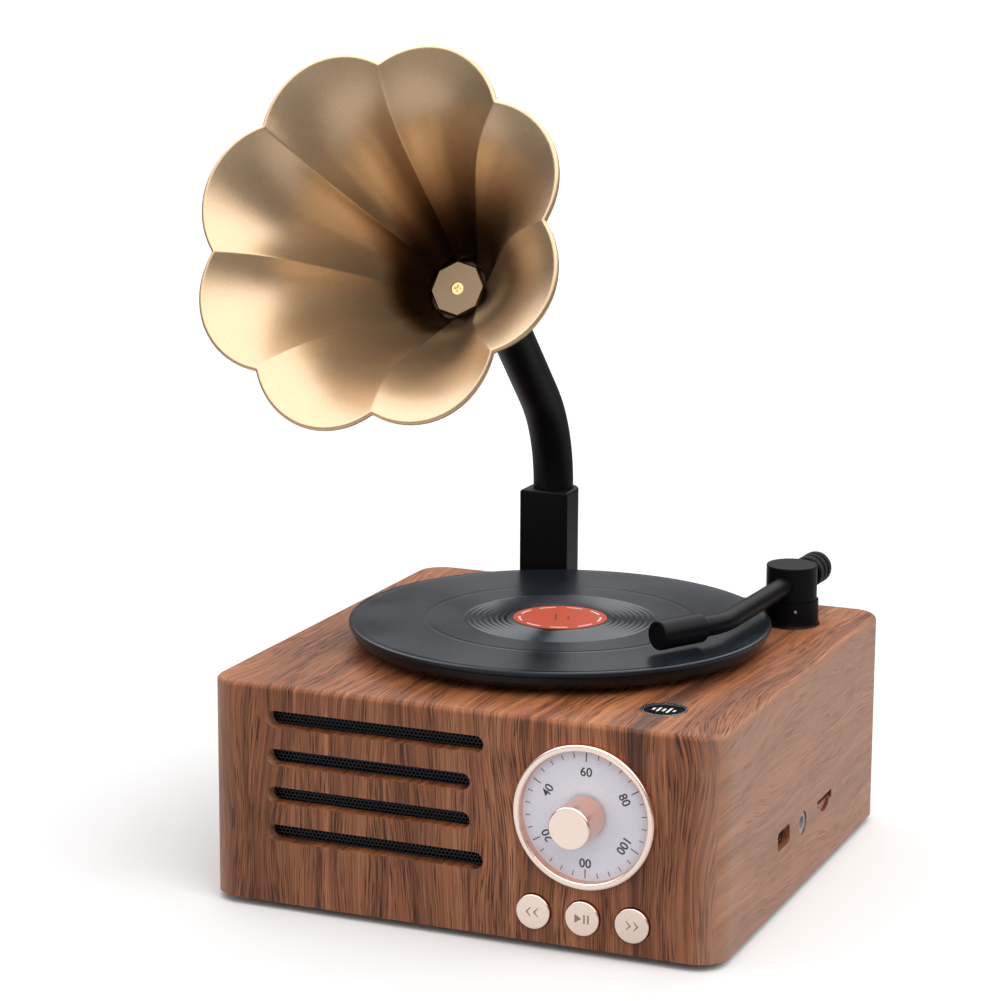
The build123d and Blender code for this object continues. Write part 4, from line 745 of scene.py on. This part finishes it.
def make_horn():
    normal = Vector((0, -math.cos(MOUTH_ELEVATION), math.sin(MOUTH_ELEVATION)))
    up = Vector((0, math.sin(MOUTH_ELEVATION), math.cos(MOUTH_ELEVATION)))
    mouth = middle("throat_plate") + normal * (HORN_DEPTH + PLATE_THICKNESS / 2)
    angles = petal_angles()
    rises = [petal_rise(angle) for angle in angles]
    loops = []
    for depth, radius, bulge, offset in bell_profile():
        centre = mouth - normal * depth
        loop = []
        for angle, rise in zip(angles, rises):
            reach = radius * (1 + bulge * rise) + offset
            loop.append(centre + (LEFT_TO_RIGHT * math.cos(angle) + up * math.sin(angle)) * reach)
        loops.append(loop)
    mesh = closed_skin("horn_bell_petals", loops, 50)
    add_piece("horn_bell_petals", mesh, "chassis", "horn_metal", stands_for=("horn_bell",))


make_horn()


# ---------------------------------------------------------------- record
def groove_section(top):
    """Upper side of the record from its middle to its rim, as (radius, height). Bands that meet
    share a ring, so the heights are kept by radius, to the nearest 0.1 micrometre."""
    heights = {}

    def ring(radius, height):
        heights[round(radius, 7)] = height

    for inner, outer, pitch, depth in GROOVE_BANDS:
        ring(inner, top)
        for groove in range(int((outer - inner) / pitch)):
            start = inner + groove * pitch
            for quarter, fall in GROOVE_SHAPE:
                ring(start + pitch * quarter / 4, top - depth * fall)
        ring(outer, top)
        if outer < STEP_RADIUS < outer + 2 * MM:
            ring(STEP_RADIUS - STEP_HALF_WIDTH, top)
            ring(STEP_RADIUS, top + STEP_RISE)
            ring(STEP_RADIUS + STEP_HALF_WIDTH, top)
    return list(heights.items())


def make_record():
    """The record turned from its section, with its grooves and rolled edge."""
    low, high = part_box("record")
    face = high.z - EDGE_BEAD_RISE
    section = [(0.0, face)] + groove_section(face)
    section.append((EDGE_BEAD_RADIUS - EDGE_BEAD_FOOT, face))
    section.append((EDGE_BEAD_RADIUS - EDGE_BEAD_HALF_TOP, high.z))
    section.append((EDGE_BEAD_RADIUS + EDGE_BEAD_HALF_TOP, high.z))
    for centre_z, first_quarter in ((high.z - EDGE_ROUND, 1), (low.z + EDGE_ROUND, 0)):
        for step in range(EDGE_STEPS + 1):
            turn = math.pi / 2 * (first_quarter - step / EDGE_STEPS)
            radius = high.x - EDGE_ROUND + EDGE_ROUND * math.cos(turn)
            section.append((radius, centre_z + EDGE_ROUND * math.sin(turn)))
    section.append((0.0, low.z))
    points, faces, rows = [], [], []
    for radius, height in section:
        centre = UP * height
        if radius == 0.0:
            rows.append([len(points)] * RECORD_STEPS)
            points.append(centre)
            continue
        rows.append(list(range(len(points), len(points) + RECORD_STEPS)))
        points += circle(centre, LEFT_TO_RIGHT, -TOWARDS_FRONT, [radius] * RECORD_STEPS)
    for here, there in zip(rows, rows[1:]):
        for step in range(RECORD_STEPS):
            after = (step + 1) % RECORD_STEPS
            corners = [here[step], here[after], there[after], there[step]]
            faces.append(tuple(dict.fromkeys(corners)))
    mesh = smooth_mesh("record_grooved", points, faces, 25)
    add_piece("record_grooved", mesh, "turntable", "vinyl", stands_for=("record",))


make_record()


# ---------------------------------------------------------------- grille
def slot_bands():
    """Heights of the lower and upper edge of each perforated band."""
    reach = SLOT_HALF_HEIGHT + SLOT_MARGIN
    centres = [SLOT_TOP_ROW - row * SLOT_PITCH for row in range(SLOT_ROWS)]
    return [(centre - reach, centre + reach) for centre in centres]


def make_grille():
    """A sheet of six-sided cells; the cells behind a slot have a round hole."""
    low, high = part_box("grille_mesh")
    row_step = HOLE_PITCH * math.sqrt(3) / 2
    cell_radius = HOLE_PITCH / math.sqrt(3)
    bands = slot_bands()
    points, faces, known = [], [], {}

    def corner(x, z):
        key = (round(x / (0.01 * MM)), round(z / (0.01 * MM)))
        if key not in known:
            known[key] = len(points)
            points.append(Vector((x, low.y, z)))
        return known[key]

    rows = int((high.z - low.z) / row_step) - 1
    columns = int((high.x - low.x) / HOLE_PITCH) - 1
    for row in range(rows):
        z = low.z + (row + 1) * row_step
        for column in range(columns):
            x = low.x + (column + 0.9 + 0.5 * (row % 2)) * HOLE_PITCH
            outer = []
            for side in range(6):
                turn = math.pi / 6 + side * math.pi / 3
                outer.append(corner(x + cell_radius * math.cos(turn), z + cell_radius * math.sin(turn)))
            if not any(bottom < z < top for bottom, top in bands):
                faces.append(tuple(outer))
                continue
            hole = []
            for side in range(12):
                turn = math.pi / 6 + side * math.pi / 6
                hole.append(corner(x + HOLE_RADIUS * math.cos(turn), z + HOLE_RADIUS * math.sin(turn)))
            for side in range(6):
                after = (side + 1) % 6
                inner = (hole[(2 * side + 2) % 12], hole[2 * side + 1], hole[2 * side])
                faces.append((outer[side], outer[after]) + inner)
    mesh = smooth_mesh("grille_perforated", points, faces, 30)
    piece = add_piece("grille_perforated", mesh, "chassis", "black_metal", stands_for=("grille_mesh",))
    sheet = piece.modifiers.new("sheet", "SOLIDIFY")
    sheet.thickness = SHEET_THICKNESS
    sheet.offset = 0


make_grille()


# ---------------------------------------------------------------- dial, keys, badge
def ink(name, colour):
    """Printed or filled colour, a little uneven."""
    return plastic(name, colour, 0.55, 0.15 * MM, 0.2, 0.002 * MM)


dark_ink = ink("dark_ink", srgb(62, 60, 66))
white_ink = ink("white_ink", srgb(232, 232, 230))


def make_dial():
    """Ticks and numbers on the dial's face."""
    centre = middle("dial_plate")
    centre.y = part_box("dial_plate")[0].y
    outlines = []
    for tick in range(TICKS):
        length, half_width = SHORT_TICK, SHORT_TICK_HALF_WIDTH
        if tick % LONG_TICK_EVERY == 0:
            length, half_width = LONG_TICK, LONG_TICK_HALF_WIDTH
        turn = 2 * math.pi * tick / TICKS
        out = Vector((math.sin(turn), math.cos(turn)))
        side = Vector((out.y, -out.x)) * half_width
        inner, outer = out * (TICK_OUTER - length), out * TICK_OUTER
        outlines.append([inner - side, inner + side, outer + side, outer - side])
    mesh = prisms("dial_ticks", outlines, centre, LEFT_TO_RIGHT, UP, INK)
    add_piece("dial_ticks", mesh, "chassis", "dial_face", dark_ink)
    for index, text in enumerate(NUMERALS):
        turn = 2 * math.pi * index / len(NUMERALS)
        curve = bpy.data.curves.new("dial_number_" + text, "FONT")
        curve.body = text
        curve.size = NUMERAL_HEIGHT
        curve.align_x = "CENTER"
        curve.align_y = "CENTER"
        curve.extrude = INK / 2
        curve.offset = NUMERAL_WEIGHT
        curve.materials.append(dark_ink)
        number = new_object(curve.name, curve)
        place = centre + (LEFT_TO_RIGHT * math.sin(turn) + UP * math.cos(turn)) * NUMERAL_RADIUS
        place += TOWARDS_FRONT * INK / 2 - UP * NUMERAL_DROP
        facing = Matrix.Rotation(math.pi / 2, 4, "X") @ Matrix.Rotation(-turn, 4, "Z")
        number.matrix_world = Matrix.Translation(place) @ facing
        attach(number, "chassis")


def chevron(tip_x, direction, size):
    """Outline of a bent stroke that points to the left, -1, or to the right, 1."""
    back = tip_x - direction * size
    width = direction * CHEVRON_WIDTH
    return [
        (tip_x, 0.0),
        (back, size),
        (back - width, size),
        (tip_x - direction * CHEVRON_TIP_WIDTH, 0.0),
        (back - width, -size),
        (back, -size),
    ]


def bar(centre_x, width, height):
    """Outline of an upright bar centred on the line of the marks."""
    left, right = centre_x - width / 2, centre_x + width / 2
    return [(left, -height / 2), (right, -height / 2), (right, height / 2), (left, height / 2)]


def make_key_marks():
    """Plain transport symbols on the three keys."""
    size, reach, inset = KEY_MARK_SIZE, KEY_MARK_REACH, KEY_MARK_INSET
    triangle = [(-reach, -size), (-inset, 0.0), (-reach, size)]
    bars = [bar(place, KEY_BAR_WIDTH, 2 * size) for place in KEY_BAR_PLACES]
    marks = {
        "previous": [chevron(-reach, -1, size), chevron(inset, -1, size)],
        "play": [triangle] + bars,
        "next": [chevron(-inset, 1, size), chevron(reach, 1, size)],
    }
    mark_ink = ink("key_ink", srgb(150, 118, 104))
    for key, outlines in marks.items():
        face = middle(key + "_button")
        face.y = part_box(key + "_button")[0].y
        mesh = prisms(key + "_mark", outlines, face, LEFT_TO_RIGHT, UP, INK)
        add_piece(key + "_mark", mesh, key + "_key", "rose_gold", mark_ink)


def make_badge_mark():
    """A generic row of level bars on the badge."""
    centre = middle("badge_disc")
    centre.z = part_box("badge_disc")[1].z
    outlines = []
    for place, height in enumerate(BADGE_BARS):
        across = (place - (len(BADGE_BARS) - 1) / 2) * BADGE_BAR_SPACING
        outlines.append(bar(across, BADGE_BAR_WIDTH, height))
    mesh = prisms("badge_bars", outlines, centre, LEFT_TO_RIGHT, -TOWARDS_FRONT, INK)
    add_piece("badge_bars", mesh, "chassis", "badge_metal", white_ink)


make_dial()
make_key_marks()
make_badge_mark()


# ---------------------------------------------------------------- tonearm
def make_set_screw():
    """The small bright socket screw that clamps the tonearm's collar."""
    facing = (TOWARDS_FRONT * 2 + LEFT_TO_RIGHT).normalized()
    along = UP.cross(facing)
    collar = middle("tonearm_collar")
    seat = Vector((collar.x, collar.y, SET_SCREW_HEIGHT)) + facing * COLLAR_RADIUS
    # each ring is (radius, how far it stands proud)
    rings = (
        (SET_SCREW_RADIUS, -SET_SCREW_DEPTH),
        (SET_SCREW_RADIUS, SET_SCREW_DEPTH * 0.6),
        (SET_SCREW_RADIUS * 0.85, SET_SCREW_DEPTH),
        (SET_SCREW_RADIUS * 0.3, SET_SCREW_DEPTH),
        (SET_SCREW_RADIUS * 0.25, SET_SCREW_DEPTH * 0.2),
        (PINHOLE, SET_SCREW_DEPTH * 0.2),
    )
    loops = []
    for radius, proud in rings:
        loops.append(circle(seat + facing * proud, along, UP, [radius] * SET_SCREW_STEPS))
    mesh = closed_skin("set_screw", loops)
    add_piece("set_screw", mesh, "chassis", "steel")


def make_counterweight():
    """The tonearm's weight: two grooves round it and a fine knurl on the bands between them."""
    centre = middle("counterweight")
    axis = Vector((math.sin(TONEARM_HEADING), math.cos(TONEARM_HEADING), 0.0))
    across = UP.cross(axis)
    back = centre + axis * WEIGHT_LENGTH / 2
    end_radius = WEIGHT_RADIUS - WEIGHT_CHAMFER
    groove_radius = WEIGHT_RADIUS - GROOVE_DEPTH
    # each ring is (distance from the back end, radius, whether it is knurled)
    rings = [(DIMPLE_DEPTH, PINHOLE, False), (DIMPLE_DEPTH, DIMPLE_RADIUS - DIMPLE_DEPTH, False)]
    rings += [(0.0, DIMPLE_RADIUS, False), (0.0, end_radius, False)]
    rings.append((WEIGHT_CHAMFER, WEIGHT_RADIUS, True))
    for start, stop in WEIGHT_GROOVES:
        rings += [(start, WEIGHT_RADIUS, True), (start, groove_radius, False)]
        rings += [(stop, groove_radius, False), (stop, WEIGHT_RADIUS, True)]
    rings.append((WEIGHT_LENGTH - WEIGHT_CHAMFER, WEIGHT_RADIUS, True))
    rings += [(WEIGHT_LENGTH, end_radius, False), (WEIGHT_LENGTH, PINHOLE, False)]
    loops = []
    for distance, radius, knurled in rings:
        valley = radius - KNURL_DEPTH if knurled else radius
        loops.append(circle(back - axis * distance, across, UP, [radius, valley] * KNURLS))
    mesh = closed_skin("knurled_weight", loops, 20)
    add_piece("knurled_weight", mesh, "tonearm", "black_satin", stands_for=("counterweight",))


make_set_screw()
make_counterweight()


# ---------------------------------------------------------------- studio
def towards_card(graph, x, y):
    """1 in the sector at the front left where the bright card stands, 0 outside it."""
    heading = graph.put("VectorMath", {0: graph.vector(x, y)}, operation="NORMALIZE")
    return graph.between(graph.dot(heading, CARD_DIRECTION), *CARD_SECTOR)


def floor_white():
    """Pale matt floor. It throws less light back at the object than the camera sees, as a floor
    does that is lit only around the object; shiny surfaces see it fade out further off."""
    finish = Finish("floor_white")
    x, y, _ = finish.place()
    clouds = finish.noise(finish.vector(x, y), 3.0, 2)
    colour = finish.ramp(clouds, (0.3, (0.93, 0.93, 0.93, 1)), (0.7, (0.95, 0.95, 0.95, 1)))
    distance = finish.length(finish.vector(x, y))
    near = finish.between(distance, *FLOOR_FADE, FLOOR_NEAR_LIGHT, FLOOR_FAR_LIGHT)
    card = finish.math("MULTIPLY", towards_card(finish, x, y), FLOOR_CARD_LIGHT)
    mirrored = finish.math("ADD", near, card)
    mirrored = finish.vector(mirrored, mirrored, mirrored)
    path = finish.tree.nodes.new("ShaderNodeLightPath").outputs
    thrown = finish.mix(path["Is Glossy Ray"], (0.5, 0.5, 0.5, 1), mirrored)
    finish.set(Base_Color=finish.mix(path["Is Camera Ray"], thrown, colour), Roughness=0.85)
    return finish.material


def make_floor():
    mesh = bpy.data.meshes.new("floor")
    signs = ((-1, -1), (1, -1), (1, 1), (-1, 1))
    corners = [Vector((x, y, 0)) * FLOOR_REACH for x, y in signs]
    mesh.from_pydata(corners, [], [(0, 1, 2, 3)])
    mesh.materials.append(floor_white())
    new_object("floor", mesh)


def make_world():
    """The camera sees white all round and matt surfaces are lit evenly; shiny surfaces see a
    bright ceiling over a dim room, with a card at the front left."""
    world = bpy.data.worlds.new("studio")
    bpy.context.scene.world = world
    world.use_nodes = True
    graph = Graph(world.node_tree)
    x, y, z = graph.place("Generated")
    ceiling = graph.between(z, *CEILING_EDGE, ROOM_LIGHT, CEILING_LIGHT)
    card = graph.between(z, *CARD_TOP, 1.0, 0.0)
    card = graph.math("MULTIPLY", towards_card(graph, x, y), card)
    mirrored = graph.math("MULTIPLY_ADD", graph.math("SUBTRACT", CARD_LIGHT, ceiling), card, ceiling)
    path = graph.tree.nodes.new("ShaderNodeLightPath").outputs
    lighting = graph.between(path["Is Glossy Ray"], 0, 1, EVEN_LIGHT, mirrored)
    strength = graph.between(path["Is Camera Ray"], 0, 1, lighting, BACKDROP_LIGHT)
    background = graph.tree.nodes["Background"]
    background.inputs["Color"].default_value = (1, 1, 1, 1)
    graph.feed(background.inputs["Strength"], strength)


def make_light():
    """A very soft overhead source that lights the floor evenly out to the horizon. Only matt
    surfaces take its light: shiny ones mirror the ceiling instead."""
    light = bpy.data.lights.new("sky_panel", "SUN")
    light.energy = SKY_STRENGTH
    light.angle = SKY_SPREAD
    sun = new_object("sky_panel", light)
    sun.rotation_mode = "QUATERNION"
    sun.rotation_quaternion = Vector(SKY_DIRECTION).to_track_quat("Z", "Y")
    sun.visible_glossy = False


def make_camera():
    data = bpy.data.cameras.new("camera")
    data.lens = CAMERA_LENS
    data.sensor_width = 36
    camera = new_object("camera", data)
    back = Vector((
        math.sin(CAMERA_AZIMUTH) * math.cos(CAMERA_ELEVATION),
        -math.cos(CAMERA_AZIMUTH) * math.cos(CAMERA_ELEVATION),
        math.sin(CAMERA_ELEVATION),
    ))
    level_right = Vector((math.cos(CAMERA_AZIMUTH), math.sin(CAMERA_AZIMUTH), 0))
    level_up = back.cross(level_right)
    right = level_right * math.cos(CAMERA_ROLL) + level_up * math.sin(CAMERA_ROLL)
    up = back.cross(right)
    place = CAMERA_TARGET + back * CAMERA_DISTANCE
    columns = [right.to_4d(), up.to_4d(), back.to_4d(), place.to_4d()]
    for column in columns[:3]:
        column.w = 0
    camera.matrix_world = Matrix(columns).transposed()
    bpy.context.scene.camera = camera


make_floor()
make_world()
make_light()
make_camera()
bpy.context.scene.view_settings.view_transform = "Standard"
